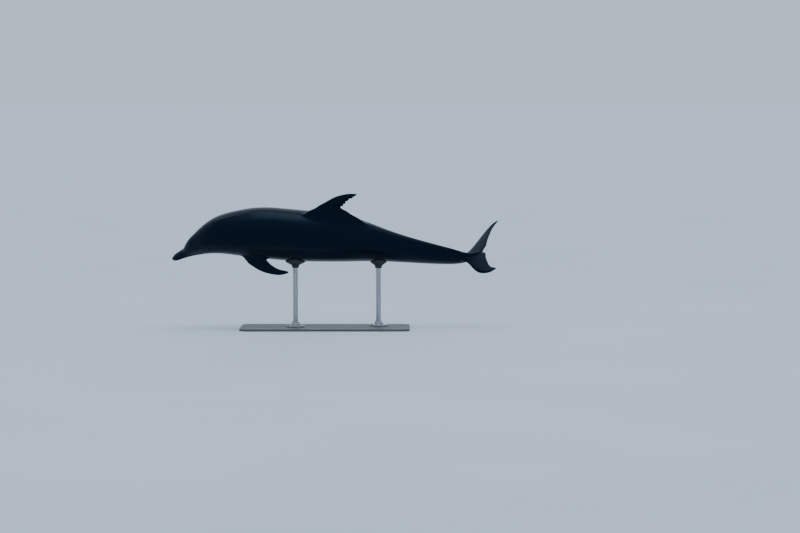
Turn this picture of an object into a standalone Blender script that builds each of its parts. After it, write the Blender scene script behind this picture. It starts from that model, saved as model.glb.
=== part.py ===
"""Life-size model of a leaping bottlenose dolphin, held by a steel display stand.

The animal is first laid out straight: x runs back from the tip of the beak, y to its own right and z out through
its back. pose() then bends that straight body along its spine, banks it to its left and lifts it onto the stand.
Its shape is given in hundredths of LENGTH, beak to notch, so that the whole animal scales with it.
The body is one smooth loft, parted into its regions by thin gaps.
"""

import math

import bmesh
import bpy
import numpy as np
from mathutils import Vector

# The animal
LENGTH = 2.80  # metres along the body, from the tip of the beak to the notch of the flukes
RAYS = 32  # points round each ring of the body
GAP = 0.0004  # metres between neighbouring pieces
BEAK_TIP_REACH = 0.022  # share of LENGTH over which the tip of the beak rounds off
TAIL_TIP_REACH = 0.020

# Station, back, belly and half width in hundredths of LENGTH, then how square the section is above and below
BODY = (
    (0.0, 0.95, -0.75, 1.05, 2.3, 2.2),
    (2.0, 0.95, -0.95, 1.32, 2.3, 2.2),
    (4.5, 1.15, -1.30, 1.62, 2.2, 2.2),
    (7.0, 1.45, -1.85, 2.05, 2.1, 2.2),
    (10.0, 2.30, -2.50, 3.00, 2.0, 2.2),
    (14.0, 4.15, -3.70, 4.35, 2.0, 2.15),
    (20.0, 6.25, -5.85, 5.90, 2.0, 2.1),
    (28.0, 8.20, -7.55, 7.00, 2.0, 2.1),
    (38.0, 8.25, -8.30, 7.20, 2.0, 2.1),
    (48.0, 7.75, -8.35, 6.95, 2.0, 2.05),
    (58.0, 7.25, -7.60, 5.90, 1.95, 2.0),
    (68.0, 5.80, -5.70, 4.10, 1.85, 1.9),
    (78.0, 4.60, -4.25, 2.75, 1.75, 1.8),
    (86.0, 3.65, -3.30, 1.90, 1.7, 1.75),
    (92.0, 2.65, -2.25, 1.25, 1.7, 1.75),
    (96.0, 1.35, -1.25, 0.95, 1.8, 1.8),
    (100.0, 0.45, -0.45, 0.60, 2.0, 2.0),
)

# The melon, a second lobe above the beak: station, top and half width
MELON = (
    (4.0, 1.90, 1.70),
    (6.0, 2.50, 2.10),
    (9.0, 3.45, 2.70),
    (13.0, 4.60, 3.70),
    (18.0, 5.75, 4.90),
    (26.0, 7.20, 6.40),
)
MELON_START = 0.042  # shares of LENGTH
MELON_END = 0.26
MELON_RISE = 0.06
MELON_CREASE = 0.004  # how softly the lobe meets the beak
MELON_BLEND = 0.02  # and how much more softly it meets the head
MELON_BLEND_START = 0.06
MELON_BLEND_REACH = 0.12
MELON_FIRST_WIDTH = 0.35  # share of its width with which the lobe starts
MELON_FADE = 0.08
MELON_FLANK = 0.45  # cosine of the angle from the back down to which the lobe is whole

# The pose: station, then the spine's slope in degrees towards the tail
BEND = (
    (0.0, 37.3),
    (5.0, 38.0),
    (10.0, 35.8),
    (16.0, 24.8),
    (22.0, 6.3),
    (30.0, -5.1),
    (40.0, -5.2),
    (50.0, -6.0),
    (58.0, -12.9),
    (66.0, -16.1),
    (76.0, -13.3),
    (86.0, -11.1),
    (91.0, -4.7),
    (95.0, 19.1),
    (98.0, 39.0),
    (106.0, 39.4),
)
# Station, then the bank in degrees, with the back turned to the animal's left
BANK = ((0.0, 45.0), (16.0, 44.0), (34.0, 39.0), (60.0, 38.0), (84.0, 37.2), (106.0, 39.5))
# Station, then the spine's turn to the animal's left, in degrees
SWING = ((0.0, 0.0), (86.0, 0.0), (92.0, 1.9), (97.0, 6.8), (106.0, 3.7))
POSED_STATION = 0.50  # this point of the spine is placed
POSED_AT = (0.0, -0.030, 0.790)  # there, in metres
SPINE_STEPS = 2000
SPINE_END = 1.12

# Node, and the stations between which it runs
REGIONS = (
    ("neck", 0.19, 0.24, 3),
    ("trunk_front", 0.24, 0.42, 6),
    ("trunk_middle", 0.42, 0.63, 7),
    ("trunk_rear", 0.63, 0.75, 4),
    ("tail_stock_front", 0.75, 0.88, 5),
    ("tail_stock_rear", 0.88, 0.98, 7),
)
HEAD_END = 0.19
MELON_STEEP_END = 0.066
TAIL_END = 0.9997
# Rings of each stretch of the head and of the tail's end
BEAK_TIP_RINGS = 5
BEAK_RINGS = 4
CREASE_RINGS = 6
FACE_RINGS = 11
TAIL_RINGS = 3

# Side view of the head, in hundredths of LENGTH: the lines along which it is parted
MOUTH_LINE = (
    (-1.0, 0.14),
    (0.0, 0.12),
    (2.0, 0.0),
    (4.5, -0.26),
    (7.5, -0.68),
    (10.0, -0.92),
    (11.4, -0.80),
    (12.1, -0.42),
)
JAW_REAR_LINE = ((12.1, -0.42), (12.5, -1.2), (13.3, -2.6), (14.4, -7.0))
CREASE_LINE = ((3.6, 4.0), (4.15, 1.55), (4.9, 0.95), (6.2, 0.55), (8.0, 0.40), (10.0, 0.55), (11.6, 0.85))
CORNER_LINE = ((11.6, 0.85), (12.0, 0.30), (12.1, -0.42))
MELON_REAR_LINE = ((11.6, 0.85), (12.6, 2.2), (13.4, 4.2), (13.9, 9.0))
HEAD_BOX = (-1.0, 22.0, -9.0, 9.0)  # front, rear, low, high
REGION_HALF_WIDTH = 0.18  # metres

# Fins. Each row joins a point of the front edge to one of the rear edge, from inside the body out to the tip:
# share of the way out, front edge (along, out), rear edge (along, out), thickness, all in hundredths of LENGTH
DORSAL_FIN = (
    (0.00, 42.30, -1.80, 62.60, -1.80, 3.10),
    (0.10, 43.75, 1.10, 59.90, 0.70, 2.20),
    (0.20, 45.25, 2.25, 57.75, 1.70, 1.70),
    (0.30, 46.60, 3.30, 55.85, 2.55, 1.45),
    (0.38, 47.55, 4.35, 54.55, 3.40, 1.30),
    (0.43, 48.25, 4.95, 53.30, 4.10, 1.20),
    (0.50, 49.15, 5.80, 53.55, 4.95, 1.10),
    (0.60, 50.20, 6.90, 54.10, 6.10, 0.95),
    (0.70, 51.45, 8.15, 54.50, 7.20, 0.80),
    (0.80, 53.00, 9.20, 55.45, 8.55, 0.65),
    (0.92, 54.90, 10.15, 56.05, 9.65, 0.45),
    (1.00, 56.35, 10.48, 56.45, 10.28, 0.20),
)
DORSAL_STEPS = (0.0, 0.1, 0.2, 0.3, 0.36, 0.4, 0.43, 0.46, 0.5, 0.56, 0.63, 0.7, 0.78, 0.86, 0.93, 0.98, 1.0)

# The flipper's own zero point is the front of its root, on the body's surface
FLIPPER = (
    (0.00, -1.60, -2.20, 6.70, -2.20, 2.10),
    (0.15, -0.05, 0.25, 6.95, 0.00, 1.65),
    (0.30, 1.45, 1.95, 7.50, 1.05, 1.35),
    (0.45, 3.60, 3.40, 8.50, 2.05, 1.10),
    (0.60, 6.40, 4.80, 9.80, 3.05, 0.85),
    (0.78, 10.20, 5.65, 11.75, 3.95, 0.60),
    (0.92, 12.90, 5.55, 13.50, 4.30, 0.40),
    (1.00, 14.60, 4.95, 14.53, 4.50, 0.18),
)
FLIPPER_STEPS = (0.0, 0.15, 0.22, 0.3, 0.38, 0.46, 0.54, 0.62, 0.7, 0.78, 0.86, 0.93, 0.98, 1.0)
FLIPPER_STATION = 0.250
FLIPPER_ROOT_ANGLE = 129.0  # degrees round the body from the back
FLIPPER_DROOP = 48.0  # degrees below level, on a straight upright body

FLUKE = (
    (0.00, 92.60, 0.15, 100.35, 0.10, 1.10),
    (0.12, 94.25, 2.10, 101.25, 1.10, 0.95),
    (0.30, 95.70, 4.05, 101.60, 3.20, 0.80),
    (0.50, 97.30, 6.35, 102.40, 5.75, 0.65),
    (0.70, 99.65, 8.60, 103.30, 7.85, 0.50),
    (0.85, 102.20, 10.00, 104.35, 9.05, 0.38),
    (0.95, 104.20, 10.50, 105.10, 9.70, 0.26),
    (1.00, 105.60, 10.45, 105.72, 10.28, 0.14),
)
FLUKE_STEPS = (0.0, 0.12, 0.2, 0.3, 0.4, 0.5, 0.6, 0.7, 0.78, 0.86, 0.93, 0.98, 1.0)
FLUKE_DROP = 0.6  # hundredths of LENGTH that the tips curl down from the tail's middle

FIN_CHORD_STEPS = 6
FIN_REAR_EDGE = 0.0011  # metres, half the thickness of a fin's rear edge

# Eyes
EYE_STATION = 0.147
EYE_ANGLE = 88.0  # degrees round the body from the back
EYE_RADIUS = 0.0175
EYE_DEPTH = 0.0128  # from the skin in to the eye's centre

# Blowhole: a crescent across the top of the head, its hollow side forward
BLOWHOLE_STATION = 0.157
BLOWHOLE_HALF_SPAN = 0.030
BLOWHOLE_WIDTH = 0.013
BLOWHOLE_SAG = 0.013
BLOWHOLE_DEPTH = 0.030
BLOWHOLE_STEPS = 8

# Stand
BASE_SIZE = (1.44, 0.64)
BASE_THICKNESS = 0.018
BASE_CORNER = 0.070
BASE_CHAMFER = 0.003
CORNER_STEPS = 6
ROD_STATIONS = {"front": 0.415, "rear": 0.680}
ROD_RADIUS = 0.021
ROD_SIDES = 16
ROD_CHAMFER = 0.002
FLANGE_RADIUS = 0.080
FLANGE_THICKNESS = 0.012
FLANGE_CHAMFER = 0.002
COLLAR_RADIUS = 0.034
COLLAR_HEIGHT = 0.030
BOLT_CIRCLE = 0.060
BOLT_RADIUS = 0.010
BOLT_HEIGHT = 0.008
BOLT_COUNT = 3
SADDLE_NECK_RADIUS = 0.030
SADDLE_RIM_RADIUS = {"front": 0.085, "rear": 0.070}
SADDLE_HEIGHT = 0.055  # from the saddle's foot to the lowest line of the belly
SADDLE_OVERLAP = 0.060  # how far the uncut saddle runs up into the body

SKIN_DARK = (0.018, 0.024, 0.034)
SKIN_FIN = (0.014, 0.019, 0.027)
SKIN_PALE = (0.16, 0.18, 0.20)
EYE_COLOUR = (0.012, 0.009, 0.008)
STEEL_COLOUR = (0.06, 0.063, 0.068)
PAD_COLOUR = (0.02, 0.02, 0.021)


def spline(knots, values):
    """A natural cubic spline through the knots, as a function that holds its end values beyond them."""
    knots = np.asarray(knots, float)
    values = np.asarray(values, float)
    steps = np.diff(knots)
    slopes = np.diff(values) / steps
    count = len(knots)
    matrix = np.eye(count)
    right = np.zeros(count)
    for i in range(1, count - 1):
        matrix[i, i - 1 : i + 2] = steps[i - 1], 2 * (steps[i - 1] + steps[i]), steps[i]
        right[i] = 6 * (slopes[i] - slopes[i - 1])
    curvature = np.linalg.solve(matrix, right)

    def value(at):
        at = np.clip(np.asarray(at, float), knots[0], knots[-1])
        i = np.clip(np.searchsorted(knots, at, side="right") - 1, 0, count - 2)
        t = at - knots[i]
        start = slopes[i] - steps[i] * (2 * curvature[i] + curvature[i + 1]) / 6
        bend = (curvature[i + 1] - curvature[i]) / (6 * steps[i])
        return values[i] + t * (start + t * (curvature[i] / 2 + t * bend))

    return value


def columns(table, knot_unit, unit):
    """One spline over a table's first column for each of the others."""
    rows = np.array(table).T
    return [spline(rows[0] * knot_unit, row * unit) for row in rows[1:]]


def round_off(distance, reach):
    """0 at an end of the body, growing to 1 along a quarter circle."""
    t = np.clip(np.asarray(distance, float) / reach, 0, 1)
    return np.sqrt(1 - (1 - t) ** 2)


def smooth_step(t):
    t = np.clip(t, 0, 1)
    return t * t * (3 - 2 * t)


def smooth_max(a, b, softness):
    h = np.maximum(softness - np.abs(a - b), 0) / softness
    return np.maximum(a, b) + h * h * softness / 4


# Over the station, as a share of LENGTH
BACK, BELLY, HALF_WIDTH = columns(BODY, 0.01, 0.01)[:3]
SQUARE_ABOVE, SQUARE_BELOW = columns(BODY, 0.01, 1.0)[3:]
MELON_TOP, MELON_HALF = columns(MELON, 0.01, 0.01)


def body_point(station, angle, offset=0.0):
    """A point of the straight body's surface. The angle starts at the back and turns to the animal's right."""
    station, angle = np.broadcast_arrays(np.asarray(station, float), np.asarray(angle, float))
    back = BACK(station)
    belly = BELLY(station)
    middle = (back + belly) / 2
    across = np.abs(np.sin(angle))
    along = np.cos(angle)
    square = np.where(along > 0, SQUARE_ABOVE(station), SQUARE_BELOW(station))
    tall = (back - belly) / 2
    radius = ((across / HALF_WIDTH(station)) ** square + (np.abs(along) / tall) ** square) ** (-1 / square)
    radius = radius * round_off(station, BEAK_TIP_REACH) * round_off(1 - station, TAIL_TIP_REACH)
    rise = round_off(station - MELON_START, MELON_RISE)
    melon_tall = np.maximum((MELON_TOP(station) - middle) * rise, 1e-6)
    melon_half = MELON_HALF(station) * (MELON_FIRST_WIDTH + (1 - MELON_FIRST_WIDTH) * rise)
    melon = ((across / melon_half) ** 2 + (along / melon_tall) ** 2) ** -0.5
    softness = MELON_CREASE + MELON_BLEND * np.clip((station - MELON_BLEND_START) / MELON_BLEND_REACH, 0, 1)
    blend = smooth_step((MELON_END - station) / MELON_FADE) * smooth_step(along / MELON_FLANK)
    blend = np.where(station > MELON_START, blend, 0)
    radius = radius + blend * (smooth_max(radius, melon, softness) - radius)
    reach = radius * LENGTH + offset
    return np.stack([station * LENGTH, reach * np.sin(angle), middle * LENGTH + reach * along], axis=-1)


def spine():
    """Distance along the body, and there the posed spine's place in its own frame, its slope, bank and swing."""
    station = np.linspace(0, SPINE_END, SPINE_STEPS + 1)
    slope, bank, swing = (columns(table, 0.01, math.radians(1))[0](station) for table in (BEND, BANK, SWING))
    heading = np.stack([np.cos(swing) * np.cos(slope), -np.sin(swing), np.cos(swing) * np.sin(slope)])
    step = np.diff(station) * LENGTH
    travel = np.cumsum((heading[:, 1:] + heading[:, :-1]) / 2 * step, axis=1)
    along, sideways, height = np.concatenate([np.zeros((3, 1)), travel], axis=1)
    return station * LENGTH, along, sideways, height, slope, bank, swing


SPINE = spine()


def bend(points):
    """Points of the straight body, bent and banked but not yet placed."""
    points = np.asarray(points, float)
    along, sideways, height, slope, bank, swing = (np.interp(points[..., 0], SPINE[0], row) for row in SPINE[1:])
    right = points[..., 1]
    out = points[..., 2]
    x = along - np.sin(slope) * out + np.sin(swing) * np.cos(slope) * right
    side = sideways + np.cos(swing) * right
    up = height + np.cos(slope) * out + np.sin(swing) * np.sin(slope) * right
    return np.stack([x, side * np.cos(bank) - up * np.sin(bank), side * np.sin(bank) + up * np.cos(bank)], axis=-1)


def pose(points):
    """Points of the straight body where they lie on the finished model."""
    return bend(points) - bend((POSED_STATION * LENGTH, 0, 0)) + np.array(POSED_AT)


def material(name, colour, roughness, metallic=0.0):
    made = bpy.data.materials.new(name)
    made.use_nodes = True
    shader = made.node_tree.nodes["Principled BSDF"]
    shader.inputs["Base Color"].default_value = (*colour, 1)
    shader.inputs["Roughness"].default_value = roughness
    shader.inputs["Metallic"].default_value = metallic
    return made


def place(name, mesh, finish):
    """Puts a mesh in the scene as a shaded piece."""
    mesh.shade_smooth()
    mesh.set_sharp_from_angle(angle=math.radians(40))
    mesh.materials.append(finish)
    piece = bpy.data.objects.new(name, mesh)
    bpy.context.scene.collection.objects.link(piece)
    return piece


def lofted(name, rings):
    """A closed mesh through rings of points, turned so that its faces point out."""
    mesh = bpy.data.meshes.new(name)
    bm = bmesh.new()
    loops = [[bm.verts.new(point) for point in ring] for ring in rings]
    for first, second in zip(loops, loops[1:]):
        for i in range(len(first)):
            j = (i + 1) % len(first)
            bm.faces.new((first[i], first[j], second[j]))
            bm.faces.new((first[i], second[j], second[i]))
    bm.faces.new(loops[0][::-1])
    bm.faces.new(loops[-1])
    if bm.calc_volume(signed=True) < 0:
        bmesh.ops.reverse_faces(bm, faces=bm.faces)
    bm.to_mesh(mesh)
    bm.free()
    return mesh


def helper(name, mesh):
    """A cutter or a guide: never part of the finished model."""
    piece = bpy.data.objects.new(name, mesh)
    bpy.context.scene.collection.objects.link(piece)
    piece.hide_render = True
    piece.display_type = "WIRE"
    return piece


def combine(piece, other, operation):
    modifier = piece.modifiers.new(f"{operation.lower()} {other.name}", "BOOLEAN")
    modifier.operation = operation
    modifier.solver = "EXACT"
    modifier.object = other


def body_rings(stations, offset=0.0):
    """Posed rings of the body; a positive offset also moves them out from its skin."""
    angles = np.linspace(0, 2 * math.pi, RAYS, endpoint=False)
    return [pose(body_point(station, angles, offset)) for station in stations]


def head_stations():
    """From the tip of the beak to the neck, close together where the tip rounds and where the melon starts."""
    quarter = math.pi / 2
    tip = [BEAK_TIP_REACH * (1 - math.cos(quarter * (i + 0.35) / BEAK_TIP_RINGS)) for i in range(BEAK_TIP_RINGS)]
    beak = np.linspace(BEAK_TIP_REACH, MELON_START, BEAK_RINGS)
    crease = np.linspace(MELON_START, MELON_STEEP_END, CREASE_RINGS)[1:]
    face = np.linspace(MELON_STEEP_END, HEAD_END, FACE_RINGS)[1:]
    return [*tip, *beak, *crease, *face]


def tail_end_stations():
    """The last rings, where the tail rounds off between the flukes."""
    quarter = math.pi / 2
    rounded = [1 - TAIL_TIP_REACH * (1 - math.sin(quarter * i / TAIL_RINGS)) for i in range(1, TAIL_RINGS)]
    return [*rounded, TAIL_END]


def make_body(finish):
    """The body behind the head, one piece for each region, and the list of all its stations."""
    half_gap = GAP / 2 / LENGTH
    stations = []
    for name, start, end, steps in REGIONS:
        own = list(np.linspace(start, end, steps + 1))
        last = name == REGIONS[-1][0]
        if last:
            own += tail_end_stations()
        stations += own[1:] if stations else own
        own[0] += half_gap
        if not last:
            own[-1] -= half_gap
        place(name, lofted(name, body_rings(own)), finish)
    return stations


def clearance(name, stations, start, end):
    """The body between two stations, a gap larger all round, to cut from what meets it."""
    own = [station for station in stations if start <= station <= end]
    return helper(name, lofted(name, body_rings(own, GAP)))


def curve_points(points, steps):
    """Points of a smooth curve through a few given ones."""
    points = np.array(points, float)
    run = np.concatenate([[0], np.cumsum(np.linalg.norm(np.diff(points, axis=0), axis=1))])
    at = np.linspace(0, run[-1], steps + 1)
    return np.stack([spline(run, points[:, k])(at) for k in (0, 1)], axis=1)


def inset(outline, distance):
    """A closed 2-D outline, drawn anticlockwise, moved inwards by a distance."""
    before = np.roll(outline, 1, axis=0)
    after = np.roll(outline, -1, axis=0)
    first = (outline - before) / np.linalg.norm(outline - before, axis=1)[:, None]
    second = (after - outline) / np.linalg.norm(after - outline, axis=1)[:, None]
    first_in = np.stack([-first[:, 1], first[:, 0]], axis=1)
    second_in = np.stack([-second[:, 1], second[:, 0]], axis=1)
    middle = first_in + second_in
    return outline + distance * 2 * middle / (middle**2).sum(axis=1)[:, None]


def head_region(name, outline):
    """A prism across the head over a side-view outline in hundredths of LENGTH, drawn anticlockwise."""
    side = inset(np.array(outline) * LENGTH / 100, GAP / 2)
    rings = []
    for y in (-REGION_HALF_WIDTH, 0, REGION_HALF_WIDTH):
        rings.append(pose(np.stack([side[:, 0], np.full(len(side), y), side[:, 1]], axis=1)))
    return helper(name, lofted(name, rings))


def make_head(finish, pale):
    """Beak, jaw, melon and head: one loft, shared out by side-view regions that leave thin gaps."""
    front, rear, low, high = HEAD_BOX
    mouth = curve_points(MOUTH_LINE, 10)
    jaw_rear = curve_points(JAW_REAR_LINE, 5)
    crease = curve_points(CREASE_LINE, 10)
    corner = curve_points(CORNER_LINE, 3)
    melon_rear = curve_points(MELON_REAR_LINE, 5)
    outlines = {
        "upper_beak": [*mouth, *corner[::-1][1:], *crease[::-1][1:], (front, crease[0][1])],
        "lower_jaw": [(front, low), (jaw_rear[-1][0], low), *jaw_rear[::-1], *mouth[::-1][1:]],
        "melon": [*crease[1:], *melon_rear[1:], (crease[0][0], high), crease[0]],
        "head": [
            (jaw_rear[-1][0], low),
            (rear, low),
            (rear, high),
            *melon_rear[::-1],
            *corner[1:],
            *jaw_rear[1:],
        ],
    }
    mesh = lofted("head_loft", body_rings(head_stations()[:-1] + [HEAD_END - GAP / 2 / LENGTH]))
    pieces = {}
    for name, outline in outlines.items():
        region = head_region(f"region_{name}", outline)
        pieces[name] = place(name, mesh.copy(), pale if name == "lower_jaw" else finish)
        combine(pieces[name], region, "INTERSECT")
    return pieces


def outward(station, angle):
    """The skin's point at a station and angle, and its outward direction there."""
    small = 1e-4
    point = pose(body_point(station, angle))
    along = pose(body_point(station + small, angle)) - pose(body_point(station - small, angle))
    around = pose(body_point(station, angle + small)) - pose(body_point(station, angle - small))
    normal = np.cross(along, around)
    normal /= np.linalg.norm(normal)
    return point, normal * np.sign(normal @ (point - pose((station * LENGTH, 0, 0))))


def ball(name, radius):
    mesh = bpy.data.meshes.new(name)
    bm = bmesh.new()
    bmesh.ops.create_uvsphere(bm, u_segments=12, v_segments=8, radius=radius)
    bm.to_mesh(mesh)
    bm.free()
    return mesh


def aim(piece, point, direction):
    """Stands a piece's own z along a direction, and moves it to a point."""
    piece.rotation_euler = Vector(direction).to_track_quat("Z", "Y").to_euler()
    piece.location = point


def make_eyes(head, finish):
    for side, sign in (("left", -1), ("right", 1)):
        skin, direction = outward(EYE_STATION, sign * math.radians(EYE_ANGLE))
        centre = skin - EYE_DEPTH * direction
        aim(place(f"eye_{side}", ball(f"eye_{side}", EYE_RADIUS), finish), centre, direction)
        socket = helper(f"socket_{side}", ball(f"socket_{side}", EYE_RADIUS + GAP))
        aim(socket, centre, direction)
        combine(head, socket, "DIFFERENCE")


def crescent(margin):
    """Plan of the blowhole round its own middle, x back and y across, grown by a margin."""
    half = BLOWHOLE_HALF_SPAN + margin
    front = []
    back = []
    for i in range(BLOWHOLE_STEPS + 1):
        across = half * math.cos(math.pi * i / BLOWHOLE_STEPS)
        share = 1 - (across / half) ** 2
        sag = BLOWHOLE_SAG * (1 - (across / BLOWHOLE_HALF_SPAN) ** 2)
        width = (BLOWHOLE_WIDTH / 2 + margin) * math.sqrt(max(share, 0)) + margin
        front.append((sag - width, across))
        back.append((sag + width, across))
    return np.array(front + back[::-1])


def blowhole_prism(name, margin, depth):
    plan = crescent(margin)
    x = BLOWHOLE_STATION * LENGTH + plan[:, 0]
    top = float(body_point(BLOWHOLE_STATION, 0.0)[2])
    rings = []
    for z in (top - depth, top + depth):
        rings.append(pose(np.stack([x, plan[:, 1], np.full(len(plan), z)], axis=1)))
    return lofted(name, rings)


def make_blowhole(head, head_mesh, finish):
    """The lip-like plug that closes the blowhole, set in a slot of its own shape."""
    slot = helper("blowhole_slot", blowhole_prism("blowhole_slot", GAP, BLOWHOLE_DEPTH + GAP))
    combine(head, slot, "DIFFERENCE")
    plug = place("blowhole", head_mesh.copy(), finish)
    core = helper("blowhole_core", blowhole_prism("blowhole_core", 0.0, BLOWHOLE_DEPTH))
    combine(plug, core, "INTERSECT")


def wing_section(t):
    """Half thickness of a fin at a share of its chord, 1 where it is thickest."""
    return 2.969 * np.sqrt(t) - 1.26 * t - 3.516 * t**2 + 2.843 * t**3 - 1.036 * t**4


def fin_rings(table, steps):
    """Rings in a fin's own plane, as along, out and thickness: from inside the body to the tip."""
    front_x, front_out, rear_x, rear_out, thickness = columns(table, 1.0, LENGTH / 100)
    chord = (1 - np.cos(np.linspace(0, math.pi, FIN_CHORD_STEPS + 1))) / 2
    rings = []
    for step in steps:
        front = np.array([front_x(step), front_out(step)])
        rear = np.array([rear_x(step), rear_out(step)])
        half = thickness(step) / 2 * wing_section(chord) + FIN_REAR_EDGE * chord
        line = front + chord[:, None] * (rear - front)
        upper = np.column_stack([line, half])[::-1]
        lower = np.column_stack([line, -half])[1:]
        rings.append(np.concatenate([upper, lower]))
    return rings


def make_fin(name, rings, clearance_body, finish):
    fin = place(name, lofted(name, rings), finish)
    combine(fin, clearance_body, "DIFFERENCE")
    return fin


def make_dorsal_fin(stations, finish):
    rings = []
    for ring in fin_rings(DORSAL_FIN, DORSAL_STEPS):
        back = BACK(ring[:, 0] / LENGTH) * LENGTH
        rings.append(pose(np.stack([ring[:, 0], ring[:, 2], back + ring[:, 1]], axis=1)))
    make_fin("dorsal_fin", rings, clearance("clearance_back", stations, 0.38, 0.68), finish)


def make_flippers(stations, finish):
    body = clearance("clearance_chest", stations, 0.19, 0.42)
    droop = math.radians(FLIPPER_DROOP)
    for side, sign in (("left", -1), ("right", 1)):
        root = body_point(FLIPPER_STATION, sign * math.radians(FLIPPER_ROOT_ANGLE))
        out = np.array([0, sign * math.cos(droop), -math.sin(droop)])
        flat = np.cross([1, 0, 0], out)
        rings = []
        for ring in fin_rings(FLIPPER, FLIPPER_STEPS):
            along = ring[:, :1] * np.array([1, 0, 0])
            rings.append(pose(root + along + ring[:, 1:2] * out + ring[:, 2:] * flat))
        make_fin(f"flipper_{side}", rings, body, finish)


def make_flukes(stations, finish):
    body = clearance("clearance_tail", stations, 0.86, 1.0)
    tip = FLUKE[-1][2] * LENGTH / 100
    for side, sign in (("left", -1), ("right", 1)):
        rings = []
        for ring in fin_rings(FLUKE, FLUKE_STEPS):
            drop = FLUKE_DROP * LENGTH / 100 * (ring[:, 1] / tip) ** 2
            rings.append(pose(np.stack([ring[:, 0], sign * ring[:, 1], ring[:, 2] - drop], axis=1)))
        make_fin(f"fluke_{side}", rings, body, finish)


def turned(name, profile, centre, sides=ROD_SIDES):
    """A piece turned about a vertical axis: profile is radius and height, from its foot up."""
    angles = np.linspace(0, 2 * math.pi, sides, endpoint=False)
    rings = []
    for radius, z in profile:
        ring = np.stack([radius * np.cos(angles), radius * np.sin(angles), np.full(sides, z)], axis=1)
        rings.append(ring + np.array([centre[0], centre[1], 0]))
    return lofted(name, rings)


def rounded_rectangle(size, corner, z):
    half_x = size[0] / 2 - corner
    half_y = size[1] / 2 - corner
    points = []
    for quarter, (sx, sy) in enumerate(((1, 1), (-1, 1), (-1, -1), (1, -1))):
        for i in range(CORNER_STEPS + 1):
            angle = math.pi / 2 * (quarter + i / CORNER_STEPS)
            points.append((sx * half_x + corner * math.cos(angle), sy * half_y + corner * math.sin(angle), z))
    return points


def make_base(finish):
    inner = tuple(side - 2 * BASE_CHAMFER for side in BASE_SIZE)
    rings = [
        rounded_rectangle(BASE_SIZE, BASE_CORNER, 0.0),
        rounded_rectangle(BASE_SIZE, BASE_CORNER, BASE_THICKNESS - BASE_CHAMFER),
        rounded_rectangle(inner, BASE_CORNER - BASE_CHAMFER, BASE_THICKNESS),
    ]
    place("stand_base", lofted("stand_base", rings), finish)


def lowest_point(station):
    """Where a ring of the posed body is nearest the floor."""
    angles = np.linspace(0, 2 * math.pi, 720, endpoint=False)
    ring = pose(body_point(station, angles))
    return ring[np.argmin(ring[:, 2])]


def make_support(side, stations, steel, pad):
    """Flange with its bolts, rod and saddle under one station of the body."""
    station = ROD_STATIONS[side]
    under = lowest_point(station)
    foot = BASE_THICKNESS + GAP
    step = foot + FLANGE_THICKNESS
    collar_top = step + COLLAR_HEIGHT
    flange_profile = (
        (FLANGE_RADIUS, foot),
        (FLANGE_RADIUS, step - FLANGE_CHAMFER),
        (FLANGE_RADIUS - FLANGE_CHAMFER, step),
        (COLLAR_RADIUS, step),
        (COLLAR_RADIUS, collar_top - FLANGE_CHAMFER),
        (COLLAR_RADIUS - FLANGE_CHAMFER, collar_top),
    )
    flange = place(f"stand_flange_{side}", turned("flange", flange_profile, under), steel)
    for i in range(BOLT_COUNT):
        angle = 2 * math.pi * (i + 0.5) / BOLT_COUNT
        centre = under[:2] + BOLT_CIRCLE * np.array([math.cos(angle), math.sin(angle)])
        profile = ((BOLT_RADIUS, step - BOLT_HEIGHT / 2), (BOLT_RADIUS, step + BOLT_HEIGHT))
        bolt = helper(f"bolt_{side}_{i}", turned("bolt", profile, centre, 6))
        combine(flange, bolt, "UNION")
    saddle_foot = under[2] - SADDLE_HEIGHT
    rod_foot = collar_top + GAP
    rod_top = saddle_foot - GAP
    rod_profile = ((ROD_RADIUS, rod_foot), (ROD_RADIUS, rod_top))
    place(f"stand_rod_{side}", turned("rod", rod_profile, under), steel)
    rim = SADDLE_RIM_RADIUS[side]
    waist = saddle_foot + SADDLE_HEIGHT * 0.35
    saddle_profile = (
        (SADDLE_NECK_RADIUS - ROD_CHAMFER, saddle_foot),
        (SADDLE_NECK_RADIUS, saddle_foot + ROD_CHAMFER),
        (SADDLE_NECK_RADIUS, waist),
        (rim, under[2] - 0.008),
        (rim, under[2] + SADDLE_OVERLAP),
    )
    saddle = place(f"stand_saddle_{side}", turned("saddle", saddle_profile, under), pad)
    combine(saddle, clearance(f"clearance_saddle_{side}", stations, station - 0.13, station + 0.13), "DIFFERENCE")


def main():
    for old in list(bpy.data.objects):
        bpy.data.objects.remove(old)
    skin = material("skin", SKIN_DARK, 0.28)
    fins = material("fin_skin", SKIN_FIN, 0.30)
    pale = material("jaw_skin", SKIN_PALE, 0.30)
    eye = material("eye", EYE_COLOUR, 0.05)
    steel = material("stand_steel", STEEL_COLOUR, 0.35, 1.0)
    pad = material("saddle_pad", PAD_COLOUR, 0.6)
    stations = make_body(skin)
    head_parts = make_head(skin, pale)
    make_blowhole(head_parts["head"], head_parts["head"].data, fins)
    make_eyes(head_parts["head"], eye)
    make_dorsal_fin(stations, fins)
    make_flippers(stations, fins)
    make_flukes(stations, fins)
    make_base(steel)
    for side in ROD_STATIONS:
        make_support(side, stations, steel, pad)


main()
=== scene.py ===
# A leaping bottlenose dolphin as a life-size display model: one seamless skin with eyes, on its stand.
# The animal is first laid out straight: x runs back from the tip of the beak, y to its own right and z out
# through its back. pose() bends it along its spine, banks it and lifts it onto the stand, as in the solids.

from collections import namedtuple
from math import cos, pi, radians, sin

import bmesh
import bpy
import numpy as np
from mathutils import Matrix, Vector
from mathutils.bvhtree import BVHTree


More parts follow.
